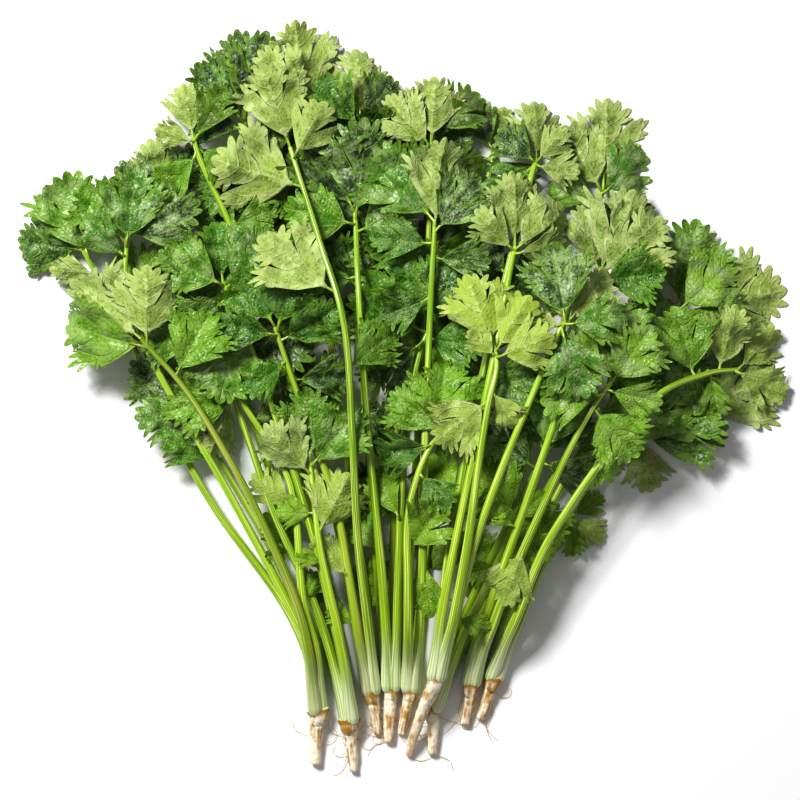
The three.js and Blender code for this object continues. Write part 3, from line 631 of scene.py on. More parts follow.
def leafMaterial(finish):
    material, tree = newMaterial("coriander leaf")
    pale, tone, paintedSheen, warm, seed, gap, rim = (
        read(tree, name) for name in ("pale", "tone", "paintedSheen", "warm", "seed", "veinGap", "rimGap"))
    u, v, _ = parts(tree, read(tree, "blade", "Vector"))
    at = joined(tree, u, v, seed)
    mottle = noiseAt(tree, at, finish["mottleScale"], 3)
    spots = noiseAt(tree, at, finish["spotScale"], 3)
    across, along = finish["streakScales"]
    fanAt = joined(tree, u / (v + finish["fanFoot"]) * across, v * along, seed)
    streaks = noiseAt(tree, fanAt, 1, 2)
    cells = {"Vector": at, "Scale": finish["netScale"], "Randomness": 0.9}
    net = outputOf(tree, "ShaderNodeTexVoronoi", cells, feature="DISTANCE_TO_EDGE")
    netLine = smoothRange(net, *finish["netAt"])
    mainLine = smoothRange(gap, *finish["veinAt"])
    uneven = (mottle - 0.5) * finish["mottling"]
    grain = (streaks - 0.5) + (spots - 0.5)
    # the tone carries painted shade on low leaves and painted light on high ones, besides its random
    # spread
    shade = tone + uneven + grain * finish["graininess"]
    # painted sheen: where and how strongly the pale grey-green of reflected light is laid over the tops
    paintedSheenShare = paintedSheen * smoothRange(mottle + grain * finish["paintedSheenGrain"], *finish["paintedSheenAt"])

    def lines(strengths):
        return maths(tree, "MAXIMUM", mainLine * strengths[0], netLine * strengths[1])

    # above: dark to bright by tone, yellower, with the painted sheen, a painted highlight along the rim
    # and the veins
    top = layered(tree, finish, "topDark",
                  (smoothRange(shade, *finish["middleAt"]), "topMiddle"),
                  (smoothRange(shade, *finish["brightAt"]), "topBright"),
                  (warm, "warmAbove"),
                  (paintedSheenShare, "paintedSheenTop"),
                  (smoothRange(rim, *finish["paintedRimHighlightAt"]), "paintedRimHighlight"),
                  (lines(finish["topVeins"]), "topVein"))
    below = layered(tree, finish, "below",
                    (smoothRange(grain, *finish["belowSpotAt"]), "belowSpot"),
                    (smoothRange(rim, *finish["belowRimAt"]), "belowRim"),
                    (warm * finish["warmShareBelow"], "warmBelow"),
                    (lines(finish["belowVeins"]), "belowVein"))
    rough = smoothRange(pale, 0, 1, finish["roughness"]) + uneven * finish["roughSpread"]
    puffs = smoothRange(net, *finish["puffAt"])
    relief = puffs - mainLine * finish["grooves"] + streaks * finish["streaks"]
    dress(tree, finish, layered(tree, finish, top, (pale, below)), rough,
          relief * smoothRange(pale, 0, 1, finish["reliefSides"]))
    return material


# stem: yellow-green with ridges and pale streaks, white-green at the foot, some tinged with red
stemFinish = {
    "foot": (224, 230, 192),
    "footStreak": (160, 188, 96),
    "middle": (168, 202, 28),
    "far": (148, 192, 18),
    "deep": (72, 120, 4),
    "light": (234, 240, 140),
    "red": (150, 104, 60),
    "ridges": 13,
    "ridgeHeight": 0.07,
    "streakScale": 28,
    "wander": 0.014,  # metres by which the foot's end is ragged
    # where a colour begins and is full, as for the leaf
    "farAt": (0.02, 0.12),  # metres along the stem
    "deepAt": (0.6, 0.38, (0.4, 1)),
    "lightAt": (0.47, 0.68, (0, 0.8)),
    "footAt": (0.32, 0.56),
    "footEnds": (0.006, 0.028, (1, 0)),  # metres too
    "redAt": (0.35, 0.7),
    "roughness": 0.29,
    "specular": 0.6,
    "bump": (0.5, 0.0002),
}


def stemMaterial(finish):
    material, tree = newMaterial("coriander stem")
    along, around, blush, deep, seed = (
        read(tree, name) for name in ("alongStem", "aroundStem", "blush", "deep", "seed"))
    at = joined(tree, around * finish["ridges"], along * finish["streakScale"], seed)
    streak = noiseAt(tree, at, 1, 2)
    raised = maths(tree, "SINE", around * (finish["ridges"] * math.pi)) * finish["ridgeHeight"] + streak
    wander = along + (streak - 0.5) * finish["wander"]
    foot = layered(tree, finish, "footStreak", (smoothRange(raised, *finish["footAt"]), "foot"))
    colour = layered(tree, finish, "middle",
                     (smoothRange(along, *finish["farAt"]), "far"),
                     (deep * smoothRange(streak, *finish["deepAt"]), "deep"),
                     (smoothRange(raised, *finish["lightAt"]), "light"),
                     (smoothRange(wander, *finish["footEnds"]), foot),
                     (blush * smoothRange(streak, *finish["redAt"]), "red"))
    dress(tree, finish, colour, height=raised)
    return material


# root: cream with brown streaks and blotches, and a thin ragged brown ring under the stems
rootFinish = {
    "crown": (220, 228, 178),
    "ring": (164, 118, 24),
    "cream": (246, 239, 218),
    "blotch": (180, 136, 44),
    "tip": (214, 186, 132),
    "spotScale": 420,
    "blotScale": 150,
    "streakScales": (7, 130),
    "marks": (0.45, 0.3, 0.25),  # shares of streaks, blots and spots
    "browner": 0.12,
    "wander": (0.0034, 0.0016),  # metres by which the ring is ragged, from streaks and from spots
    "ringStrength": 0.9,
    # where a colour begins and is full, as for the leaf
    "blotchAt": (-0.05, 0.13),
    "coverAt": (0.001, 0.009, (0.49, 0.43)),  # metres down the root, as in the rows below
    "tipAt": (0.014, 0.03, (0, 0.4)),
    "ringAt": (-0.0002, 0.0004),
    "ringEnds": (0.0012, 0.0026, (1, 0)),
    "crownEnds": (-0.0002, 0.0005, (1, 0)),
    "roughness": 0.55,
    "specular": 0.35,
    "bump": (0.5, 0.0004),
}

rootletFinish = {
    "skin": (214, 186, 138),
    "roughness": 0.6,
    "specular": 0.3,
}


def rootMaterial(finish):
    material, tree = newMaterial("coriander root")
    down, around, brown = (read(tree, name) for name in ("downRoot", "aroundRoot", "brown"))
    at = put(tree, "ShaderNodeTexCoord").outputs["Object"]
    spots = noiseAt(tree, at, finish["spotScale"], 4)
    blots = noiseAt(tree, at, finish["blotScale"], 3)
    across, along = finish["streakScales"]
    streak = noiseAt(tree, joined(tree, around * across, down * along, brown), 1, 3)
    # brown runs down from the ring in streaks that thin out, and more of it on some roots
    cover = smoothRange(down, *finish["coverAt"]) + brown * finish["browner"]
    streakShare, blotShare, spotShare = finish["marks"]
    marks = streak * streakShare + blots * blotShare + spots * spotShare
    coarse, fine = finish["wander"]
    wander = down + (streak - 0.5) * coarse + (spots - 0.5) * fine
    ringed = smoothRange(wander, *finish["ringAt"]) * smoothRange(wander, *finish["ringEnds"])
    colour = layered(tree, finish, "cream",
                     (smoothRange(marks + cover - 1, *finish["blotchAt"]), "blotch"),
                     (smoothRange(down, *finish["tipAt"]), "tip"),
                     (smoothRange(wander, *finish["crownEnds"]), "crown"),
                     (ringed * finish["ringStrength"], "ring"))
    dress(tree, finish, colour, height=spots)
    return material


def rootletMaterial(finish):
    material, tree = newMaterial("coriander rootlet")
    dress(tree, finish, tint(*finish["skin"]))
    return material


leafSkin = leafMaterial(leafFinish)
stemSkin = stemMaterial(stemFinish)
rootSkin = rootMaterial(rootFinish)
rootletSkin = rootletMaterial(rootletFinish)
print("materials made")

# flat master blades, bent and set on their stalks later, in shares of a blade's length
bladeShape = {
    "spacing": 0.05,
    "gridTop": 1.1,
    "gridRow": 0.87,  # of the spacing, for triangles with even sides
    "gridClear": 0.5,  # of the spacing, kept free beside the outline and the veins
    "gridDrift": 0.2,
    "gridReach": 20,  # columns each way
    "halfThickness": 0.005,  # stands for either face until the blade is set
    "firstSeed": 40,
    "toothSteps": 6,
    "veinSteps": 8,
    "midribSteps": 20,
    "footSteps": 4,
    "midribReach": 0.97,
    "veinBow": 0.1,
    "tipAt": 1.03,
    "tipDrift": 0.015,
    "roundness": (1.0, 1.4),  # lower is a rounder tooth
    "unevenness": 0.027,
    "notchUnevenness": 0.4,  # of that
    "foot": ((0.022, 0), (0.035, 0.05)),
    "footBow": (0.012, -0.012),
    "footReach": 0.88,  # how far out to the first tooth the straight foot goes
    "bareTeeth": (1, 3),  # lower teeth that a half may lack, which leaves a straight wedge
    "breadth": (0.84, 1.1),
    "wider": 1.05,
    "cleft": (-0.07, 0.07),  # how far in or out from its usual depth the main notch ends
    # The right half of a blade: each tooth's tip and the notch after it, the two deep notches, and
    # the veins, which start on the midrib or on the vein before.
    "large": {
        "count": 9,
        "notches": (2, 7),
        "teeth": (
            ((0.3, 0.29), (0.3, 0.335)), ((0.38, 0.36), (0.345, 0.4)), ((0.43, 0.46), (0.235, 0.4)),
            ((0.44, 0.52), (0.39, 0.56)), ((0.54, 0.63), (0.43, 0.64)), ((0.53, 0.765), (0.385, 0.695)),
            ((0.41, 0.82), (0.315, 0.71)), ((0.3, 0.77), (0.09, 0.445)), ((0.19, 0.645), (0.165, 0.69)),
            ((0.305, 0.78), (0.205, 0.785)), ((0.275, 0.91), (0.155, 0.865)),
            ((0.15, 1.0), (0.07, 0.935)),
        ),
        "veins": (
            ((0, 0.03), (0.43, 0.37)), ((0.1, 0.115), (0.31, 0.27)), ((0.19, 0.19), (0.42, 0.46)),
            ((0, 0.05), (0.51, 0.7)), ((0.16, 0.27), (0.51, 0.62)), ((0.25, 0.37), (0.44, 0.76)),
            ((0.2, 0.31), (0.29, 0.74)), ((0, 0.4), (0.21, 0.68)), ((0, 0.52), (0.27, 0.8)),
            ((0, 0.66), (0.25, 0.91)), ((0, 0.78), (0.14, 0.97)),
        ),
    },
    "small": {
        "count": 3,
        "notches": (2, 4),
        "teeth": (
            ((0.28, 0.36), (0.275, 0.41)), ((0.42, 0.46), (0.36, 0.5)), ((0.5, 0.61), (0.4, 0.61)),
            ((0.47, 0.76), (0.33, 0.69)), ((0.33, 0.77), (0.085, 0.44)), ((0.22, 0.68), (0.17, 0.71)),
            ((0.3, 0.84), (0.18, 0.83)), ((0.18, 0.98), (0.085, 0.93)),
        ),
        "veins": (
            ((0, 0.04), (0.45, 0.58)), ((0.15, 0.2), (0.4, 0.44)), ((0.2, 0.28), (0.38, 0.71)),
            ((0, 0.42), (0.24, 0.76)), ((0, 0.62), (0.2, 0.89)),
        ),
    },
}


def toothCurve(start, tip, end, steps, roundness):
    out = tip - (start + end) / 2
    curve = []
    for k in range(1, steps + 1):
        turn = math.pi * k / steps
        curve.append(start.lerp(end, (1 - math.cos(turn)) / 2) + out * math.sin(turn) ** roundness)
    return curve


def gapTo(points, starts, ends):
    # from each point to the nearest of the segments
    span = ends - starts
    away = points[:, None, :] - starts[None]
    share = np.clip((away * span).sum(-1) / np.maximum((span * span).sum(-1), 1e-12), 0, 1)
    return np.sqrt(((away - span[None] * share[..., None]) ** 2).sum(-1)).min(1)


def insideOf(points, loop):
    x, y = points[:, 0:1], points[:, 1:2]
    ax, ay = loop[:, 0], loop[:, 1]
    bx, by = np.roll(ax, -1), np.roll(ay, -1)
    crosses = (ay > y) != (by > y)
    with np.errstate(divide="ignore", invalid="ignore"):
        hit = x < (bx - ax) * (y - ay) / (by - ay) + ax
    return (crosses & hit).sum(1) % 2 == 1


def bladeLines(shape, half, dice):
    # the outline as a loop, and the veins as chains of points
    steps, roundness = shape["toothSteps"], dice.uniform(*shape["roundness"])

    def nudged(point, share=1):
        reach = shape["unevenness"] * share
        return Vector((point[0] + dice.uniform(-reach, reach), point[1] + dice.uniform(-reach, reach)))

    count = shape["midribSteps"]
    veins = [[Vector((0, shape["midribReach"] * k / count)) for k in range(count + 1)]]
    halves = []
    for side in (1, -1):
        curve = [Vector(point) for point in shape["foot"]]
        broad = dice.uniform(*shape["breadth"])
        bare = dice.randint(*shape["bareTeeth"])
        deeper = dice.uniform(*shape["cleft"])
        start, bow = Vector(half["teeth"][bare][0]) * shape["footReach"], Vector(shape["footBow"])
        count = shape["footSteps"]
        curve += [curve[-1].lerp(start, k / count) + bow * math.sin(math.pi * k / count)
                  for k in range(1, count + 1)]
        for k, (tip, notch) in enumerate(half["teeth"][bare:], bare):
            tip, notch = nudged(tip), nudged(notch, shape["notchUnevenness"])
            if k in half["notches"]:
                notch += Vector((deeper * 0.5, deeper))
            curve += toothCurve(curve[-1], tip, notch, steps, roundness)
        count = shape["veinSteps"]
        for start, end in half["veins"]:
            start, end = Vector(start), nudged(end)
            bow = Vector((end.y - start.y, start.x - end.x)) * shape["veinBow"]
            line = [start.lerp(end, k / count * shape["midribReach"])
                    + bow * math.sin(math.pi * k / count) for k in range(count + 1)]
            veins.append([Vector((point.x * side * broad, point.y)) for point in line])
        halves.append([Vector((point.x * side * broad, point.y)) for point in curve])
    drift = shape["tipDrift"]
    top = Vector((dice.uniform(-drift, drift), shape["tipAt"]))
    tip = toothCurve(halves[0][-1], top, halves[1][-1], steps, roundness)
    return halves[0] + tip[:-1] + halves[1][::-1], veins


def insidePoints(shape, rim, starts, ends, dice):
    # an uneven grid that keeps clear of the outline and the veins
    step, drift, reach = shape["spacing"], shape["gridDrift"], shape["gridReach"]
    grid = []
    for row in range(int(shape["gridTop"] / step)):
        for column in range(-reach, reach + 1):
            grid.append((column * step + (row % 2) * step / 2 + dice.uniform(-drift, drift) * step,
                         row * step * shape["gridRow"] + dice.uniform(-drift, drift) * step))
    grid = np.array(grid)
    clear = step * shape["gridClear"]
    free = (insideOf(grid, rim) & (gapTo(grid, rim, np.roll(rim, -1, 0)) > clear)
            & (gapTo(grid, starts, ends) > clear))
    return [Vector(point) for point in grid[free]]


def bladeFaces(loop, veins, inner, rim):
    # triangles between the points, with the outline and the veins as edges
    points = list(loop)
    edges = [(k, (k + 1) % len(loop)) for k in range(len(loop))]
    for line in veins:
        first = len(points)
        points += line
        edges += [(first + k, first + k + 1) for k in range(len(line) - 1)]
    flat, _, faces, _, _, _ = delaunay_2d_cdt(points + inner, edges, [], 0, 1e-5)
    flat = np.array([tuple(point) for point in flat])
    faces = np.array([face[:] for face in faces])
    faces = faces[insideOf(flat[faces].mean(1), rim)]
    area = np.cross(flat[faces[:, 1]] - flat[faces[:, 0]], flat[faces[:, 2]] - flat[faces[:, 0]])
    faces[area < 0] = faces[area < 0][:, ::-1]
    faces = faces[np.abs(area) > 1e-9]
    used = np.unique(faces)
    place = np.full(len(flat), -1)
    place[used] = np.arange(len(used))
    return flat[used], place[faces]


def masterBlade(name, shape, half, seed):
    dice = random.Random(seed)
    loop, veins = bladeLines(shape, half, dice)
    rim = np.array([tuple(point) for point in loop])
    starts = np.array([tuple(p) for line in veins for p in line[:-1]])
    ends = np.array([tuple(p) for line in veins for p in line[1:]])
    inner = insidePoints(shape, rim, starts, ends, dice)
    flat, faces = bladeFaces(loop, veins, inner, rim)

    # two faces, joined round the rim by the edges that one triangle alone has
    sides = dict.fromkeys((a, b) for face in faces for a, b in zip(face, np.roll(face, -1)))
    border = [(a, b) for a, b in sides if (b, a) not in sides]
    count = len(flat)
    polygons = [tuple(face) for face in faces] + [tuple(face[::-1] + count) for face in faces]
    polygons += [(a, a + count, b + count, b) for a, b in border]
    mesh = bpy.data.meshes.new(name)
    mesh.from_pydata([(x, y, side * shape["halfThickness"]) for side in (1, -1) for x, y in flat],
                     [], polygons)
    mesh.update()
    rimEdges = {frozenset((a + more, b + more)) for a, b in border for more in (0, count)}
    keep(mesh, "FLOAT_VECTOR", blade=[(x, y, side) for side in (1, -1) for x, y in flat])
    keep(mesh, "FLOAT", veinGap=np.tile(gapTo(flat, starts, ends), 2),
         rimGap=np.tile(gapTo(flat, rim, np.roll(rim, -1, 0)), 2))
    sharp = [frozenset(edge.vertices) in rimEdges for edge in mesh.edges]
    keep(mesh, "BOOLEAN", "EDGE", sharp_edge=sharp)
    mesh.polygons.foreach_set("use_smooth", [True] * len(mesh.polygons))
    return bpy.data.objects.new(name, mesh)


masterBlades = bpy.data.collections.new("master blades")
bladeSizes = ["large"] * bladeShape["large"]["count"] + ["small"] * bladeShape["small"]["count"]
for k, size in enumerate(bladeSizes):
    blade = masterBlade("blade%02d" % k, bladeShape, bladeShape[size], bladeShape["firstSeed"] + k)
    masterBlades.objects.link(blade)

# the leaflets of a stem: master blades bent as the part bends them, with puckers and ruffles
leafShape = {
    # what the tree is given
    "growth": {
        "Thickness": 0.00032,  # metres, as are the two below
        "Rest": 0.0003,  # how low a blade may lie
        "Rest Softness": 0.002,
        "Pucker": 0.012,
        "Midrib": 0.014,
        "Ruffle": 0.125,
        "Ruffle Scale": 2.4,
        "Rim Wave": 0.05,
        "Wave Scale": 8,
        "Curl": 0.4,
        "Extra Fold": 1.0,
    },
    # where each bend begins and is full, in shares of the blade's length
    "bends": {
        "middle": 0.42,  # up the blade, from where it curls down
        "acrossCurl": 1.7,
        "ruffleAt": (0.05, 0.6, (0, 4)),
        "waveAt": (0, 0.14, (1, 0)),
        "puckerAt": (0, 0.05),
        "midribAt": (0, 0.03, (1, 0)),
    },
    # how a leaflet's looks vary, in rows like those of the part's sizes
    "variety": {
        "tone": (6, -0.46, 0.5),
        # painted sheen: how strongly each leaflet's tops take it
        "paintedSheen": (10, 0.4, 1.6),
        "warm": (11, 0.5, 1.4),
        "curl": (12, -0.35, 1),
        "moreFold": (13, -0.12, 0.26),
        "seed": (7, 0, 90),
    },
    "young": (0.4, 0.55),  # added to how light and how yellow the leaves low on the stalks are
    "youngBelow": -40,  # mm along the bunch
    "paintedShadeHeights": (8, 30),  # mm above the surface, between which the leaves go from painted shade to painted light
    # painted shade and light by height: tone added to the lowest leaves and to the highest
    "paintedDepthShade": (-0.3, 0.14),
    # each stem's leaves: how light they are, how much painted sheen they have and how yellow they are
    "tones": {
        "a1": (0.78, 0.95, 0), "a2": (0.61, 0.7, 0), "a3": (0.71, 1, 0), "a4": (0.84, 0.75, 0.05),
        "a5": (0.81, 0.85, 0.1), "b1": (0.45, 0.5, 0), "b2": (0.25, 0.5, 0), "b3": (0.4, 0.4, 0),
        "b4": (0.6, 0.7, 0), "b5": (0.45, 0.6, 0), "c1": (0.5, 0.4, 0.2), "c2": (0.35, 0.2, 0.3),
        "c3": (0.55, 0.3, 0), "c4": (0.5, 0.3, 0.15), "d1": (0.35, 0.4, 0), "d2": (0.2, 0.2, 0),
        "d3": (0.4, 0.3, 0), "d4": (0.45, 0.9, 0), "e1": (0.3, 0.5, 0.1), "e2": (0.4, 0.3, 0.2),
        "e3": (0.45, 0.9, 0), "e4": (0.4, 0.5, 0), "f1": (0.3, 0.4, 0), "f2": (0.4, 0.5, 0),
        "f3": (0.4, 0.4, 0), "g1": (0.45, 0.6, 0), "g2": (0.5, 0.6, 0.1), "g3": (0.55, 0.7, 0),
        "g4": (0.7, 0.2, 0.9), "h1": (0.66, 0.75, 0), "h2": (0.81, 0.9, 0), "h3": (0.86, 1, 0),
        "h4": (0.76, 0.9, 0), "i1": (0.91, 0.8, 0.1), "i2": (0.96, 0.7, 0.2), "i3": (0.96, 0.7, 0.3),
    },
}


def leafTree(growth, bends):
    tree, given = newTree("leaflets", {"Blades": "Collection", "Leaf Material": "Material",
                                       **{label: "Float" for label in growth}})
    wanted = {label: Flow(tree, given[label]) for label in growth}
    blades = outputOf(tree, "GeometryNodeCollectionInfo", {
        "Collection": given["Blades"], "Separate Children": True, "Reset Children": True})
    placed = outputOf(tree, "GeometryNodeInstanceOnPoints", {
        "Points": given["Geometry"], "Instance": blades, "Pick Instance": True,
        "Instance Index": field(tree, "variant", "INT")})
    flat = outputOf(tree, "GeometryNodeRealizeInstances", {"Geometry": placed})
    u, v, side = parts(tree, vectorField(tree, "blade"))
    length, width, _ = parts(tree, vectorField(tree, "bladeSize"))
    fold, arch, sag = parts(tree, vectorField(tree, "bladeBend"))
    seed, gap, faceUp, moreFold, curl, rimGap = (
        field(tree, name) for name in ("seed", "veinGap", "faceUp", "moreFold", "curl", "rimGap"))
    wide = u * width
    aside = abs(wide)
    rise = (fold + moreFold * wanted["Extra Fold"]) * aside
    rise = rise + arch * (v * 4 * (1 - v)) - sag * (v * v)

    # the rim curls down from the middle, by more on some blades than on others
    fromMiddle = v - bends["middle"]
    reach = aside * bends["acrossCurl"] * aside + fromMiddle * fromMiddle
    rise = rise - reach * wanted["Curl"] * curl

    # soft undulations, smaller waves along the rim, and puckers between the veins
    spot = joined(tree, u, v, seed)
    outwards = smoothRange(aside + v * 0.5, *bends["ruffleAt"])
    ruffled = (noiseAt(tree, spot, wanted["Ruffle Scale"], 1) - 0.5) * (wanted["Ruffle"] * outwards)
    waved = (noiseAt(tree, spot, wanted["Wave Scale"], 0) - 0.5) * wanted["Rim Wave"]
    waved = waved * smoothRange(rimGap, *bends["waveAt"])
    puckered = wanted["Pucker"] * smoothRange(gap, *bends["puckerAt"])
    midrib = wanted["Midrib"] * smoothRange(abs(u) + v * 0.01, *bends["midribAt"])
    rise = rise + (ruffled + waved + (puckered - midrib) * faceUp)

    lifted = rise * length + side * (wanted["Thickness"] * 0.5)
    place = added(tree, vectorField(tree, "bladeBase"),
                  scaled(tree, vectorField(tree, "bladeAcross"), wide * length),
                  scaled(tree, vectorField(tree, "bladeAlong"), v * length),
                  scaled(tree, vectorField(tree, "bladeUp"), lifted))
    # a blade that would bend through the surface lies flat on it
    x, y, z = parts(tree, place)
    lowest = wanted["Rest"] + side * (wanted["Thickness"] * 0.5)
    rested = joined(tree, x, y, maths(tree, "SMOOTH_MAX", z, lowest, wanted["Rest Softness"]))
    bent = outputOf(tree, "GeometryNodeSetPosition", {"Geometry": flat, "Position": rested})
    # the pale side is the lower one, or the upper one where the underside shows
    marked = stored(tree, bent, "pale", smoothRange(side * faceUp, -1, 1, (1, 0)))
    endTree(tree, marked, given["Leaf Material"])
    return tree


def toFrame(point):
    return Vector(((point.x - planMiddle[0]) / 1000, (point.y - planMiddle[1]) / 1000, point.z / 1000))


growLeaves = leafTree(leafShape["growth"], leafShape["bends"])


def leavesPiece(name, laid, shape):
    leaflets = laid["leaflets"]
    tone, paintedSheen, warm = shape["tones"][name]
    low, high = shape["paintedShadeHeights"]
    variants, places = [], []
    layers = {label: [] for label in (*shape["variety"], "faceUp")}
    for leaflet in leaflets:
        number, base = leaflet["number"], leaflet["base"]
        size = "small" if leaflet["length"] < partSizes["smallBlade"] else "large"
        variants.append(bladeSizes.index(size) + int(draw(number, 5, 0, bladeShape[size]["count"])))
        places.append(toFrame(base))
        lighter, yellower = shape["young"] if base.y < shape["youngBelow"] else (0, 0)
        raised = min(max((base.z - low) / (high - low), 0), 1)
        looks = {label: draw(number, *row) for label, row in shape["variety"].items()}
        looks["faceUp"] = -1 if leaflet["under"] else 1
        # the tone takes painted shade on low leaves and painted light on high ones
        looks["tone"] = tone + looks["tone"] + lighter + mix(*shape["paintedDepthShade"], raised)
        looks["paintedSheen"] = min(1, paintedSheen * looks["paintedSheen"]) * (1 - yellower)
        looks["warm"] = min(1, warm * looks["warm"] + yellower)
        looks["moreFold"] *= looks["faceUp"]
        for label, value in looks.items():
            layers[label].append(value)
    points = bpy.data.meshes.new(name + " points")
    points.from_pydata(places, [], [])
    ways = {"blade" + label.capitalize(): [leaflet[label] for leaflet in leaflets]
            for label in ("across", "along", "up")}
    keep(points, "FLOAT_VECTOR", bladeBase=places, **ways,
         bladeSize=[(leaflet["length"] / 1000, leaflet["width"] * bladeShape["wider"], 0)
                    for leaflet in leaflets],
         bladeBend=[(leaflet["fold"], leaflet["arch"], leaflet["sag"]) for leaflet in leaflets])
    keep(points, "INT", variant=variants)
    keep(points, "FLOAT", **layers)
    return grown("leaves_" + name, points, growLeaves,
                 dict(shape["growth"], **{"Blades": masterBlades, "Leaf Material": leafSkin}))


# stems and stalks: ribbed tubes along the stem's knots and out to every blade
stalkShape = {
    "sides": 12,
    "ribDepth": 0.06,
    "ribs": 6,
    "stepsEach": 6,  # between two knots
    "stouter": 0.96,
    "swells": ((0.56, 12), (0.26, 60)),  # how much, and over how many mm from the foot
    "footSunk": 1.8,
    "gather": 0.5,  # how near the crown's middle the feet draw together
    "gatherLength": 26,
    "stalkRadius": 0.64,
    "stalkTaper": 0.8,
    "stalkSteps": 8,
    "stalkBend": (0.5, 0.4),  # how far its two ends run straight on, in shares of its length
    "midribEnd": 0.1,
    "midribSunk": 0.12,
    "tipRadius": 0.1,
    "stalkAlong": 0.12,  # where on a stem a stalk takes its colour, in metres
    # how the stems' looks vary: the number of the draw, its range, and the least that counts
    "variety": {
        "seed": (8, 0, 90, 0),
        "blush": (9, -1.5, 0.55, 0),
        "deep": (14, -0.2, 0.75, 0.12),
    },
}


def stalkTree(ribs):
    tree, given = newTree("stalks", {"Skin": "Material", "Sides": "Int", "Rib Depth": "Float"})
    ring = outputOf(tree, "GeometryNodeCurvePrimitiveCircle",
                    {"Resolution": given["Sides"], "Radius": 1})
    around = Flow(tree, put(tree, "GeometryNodeSplineParameter").outputs["Factor"])
    rib = 1 + Flow(tree, given["Rib Depth"]) * maths(tree, "SINE", around * (ribs * 2 * math.pi))
    where = scaled(tree, outputOf(tree, "GeometryNodeInputPosition"), rib)
    ribbed = outputOf(tree, "GeometryNodeSetPosition", {"Geometry": ring, "Position": where})
    marked = stored(tree, ribbed, "aroundStem", abs(around * 2 - 1))
    paths = outputOf(tree, "GeometryNodeMeshToCurve", {"Mesh": given["Geometry"]})
    tubes = outputOf(tree, "GeometryNodeCurveToMesh", {
        "Curve": paths, "Profile Curve": marked, "Scale": field(tree, "girth"), "Fill Caps": True})
    smooth = outputOf(tree, "GeometryNodeSetShadeSmooth", {"Geometry": tubes, "Shade Smooth": True})
    endTree(tree, smooth, given["Skin"])
    return tree


growStalks = stalkTree(stalkShape["ribs"])


def pathsMesh(name, paths):
    # one chain of edges for each path, whose rows are (point in the frame, girth, along)
    rows, edges = [], []
    for path in paths:
        edges += [(k, k + 1) for k in range(len(rows), len(rows) + len(path) - 1)]
        rows += path
    points, girths, alongs = zip(*rows)
    mesh = bpy.data.meshes.new(name)
    mesh.from_pydata(points, edges, [])
    keep(mesh, "FLOAT", girth=girths, alongStem=alongs)
    return mesh


def rootMiddle(x, y, radius, lift):
    # the part's roots have a few flat sides and lie on one of them
    return Vector((x, y, radius * math.cos(math.pi / partSizes["rootSides"]) + lift))


def stalkPath(leaflet, shape):
    # from the stem to the blade in a soft bend, and on into the blade's midrib
    attach, base = leaflet["attach"], leaflet["base"]
    out, reach, steps = base - attach, max((base - attach).length, 1), shape["stalkSteps"]
    full, thin = shape["stalkRadius"], shape["stalkRadius"] * shape["stalkTaper"]
    early, late = shape["stalkBend"]
    path = []
    for k in range(steps + 1):
        share = k / steps
        bend = attach.lerp(attach + out * early, share).lerp(
            (base - leaflet["along"] * reach * late).lerp(base, share), share)
        path.append((toFrame(bend), mix(full, thin, share) / 1000, shape["stalkAlong"]))
    sunk = leaflet["up"] * (shape["midribSunk"] if leaflet["under"] else -shape["midribSunk"])
    for k in range(1, steps + 1):
        point = base + bladePoint(leaflet, 0, shape["midribEnd"] * k / steps) + sunk
        radius = mix(thin, shape["tipRadius"], (k / steps) ** 0.6)
        point.z = max(point.z, radius)
        path.append((toFrame(point), radius / 1000, shape["stalkAlong"]))
    return path


def stalksPiece(name, laid, shape):
    knots = laid["knots"]
    plant = plants[name[0]]
    heading = math.radians(plant["heading"])
    middle, ahead = rootMiddle(*plant["crown"]), Vector((math.cos(heading), math.sin(heading), 0))
    steps = shape["stepsEach"] * (len(knots) - 1)

    def gathered(point):
        # the last stretch above the crown draws in towards its middle
        far = (point - middle).dot(ahead)
        share = min(max(far / shape["gatherLength"], 0), 1)
        return (middle + ahead * far).lerp(point, mix(shape["gather"], 1, eased(share)))

    finely = [k / steps / 4 for k in range(4 * shape["stepsEach"])]
    shares = finely + [k / steps for k in range(shape["stepsEach"], steps + 1)]
    rows, length = [], 0
    before = knots[0]
    for share in shares:
        point = stemPoint(knots, share)
        length += (point - before).length
        before = point
        swell = shape["stouter"]
        for more, reach in shape["swells"]:
            swell += more * math.exp(-((length / reach) ** 2))
        radius = stemRadius(share) * swell
        point = gathered(point)
        point.z = max(point.z, radius)
        rows.append((toFrame(point), radius / 1000, length / 1000))
    way = (knots[1] - knots[0]).normalized()
    sunk = gathered(knots[0]) - way * shape["footSunk"]
    rows.insert(0, (toFrame(sunk), rows[0][1] * 0.8, 0))
    paths = [rows] + [stalkPath(leaflet, shape) for leaflet in laid["leaflets"]]
    mesh = pathsMesh(name + " paths", paths)
    for label, (first, low, high, least) in shape["variety"].items():
        drawn = max(least, draw(laid["number"], first, low, high))
        keep(mesh, "FLOAT", **{label: [drawn] * len(mesh.vertices)})
    return grown("stalks_" + name, mesh, growStalks, {"Skin": stemSkin, "Sides": shape["sides"],
                                                      "Rib Depth": shape["ribDepth"]})


for name, laid in laidStems.items():
    leaves = leavesPiece(name, laid, leafShape)
    stalks = stalksPiece(name, laid, stalkShape)
    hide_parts("leafy_stem_" + name)
    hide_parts("leafy_stem_" + name)
    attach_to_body(leaves, "root")
    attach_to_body(stalks, "root")
print("leafy stems grown")

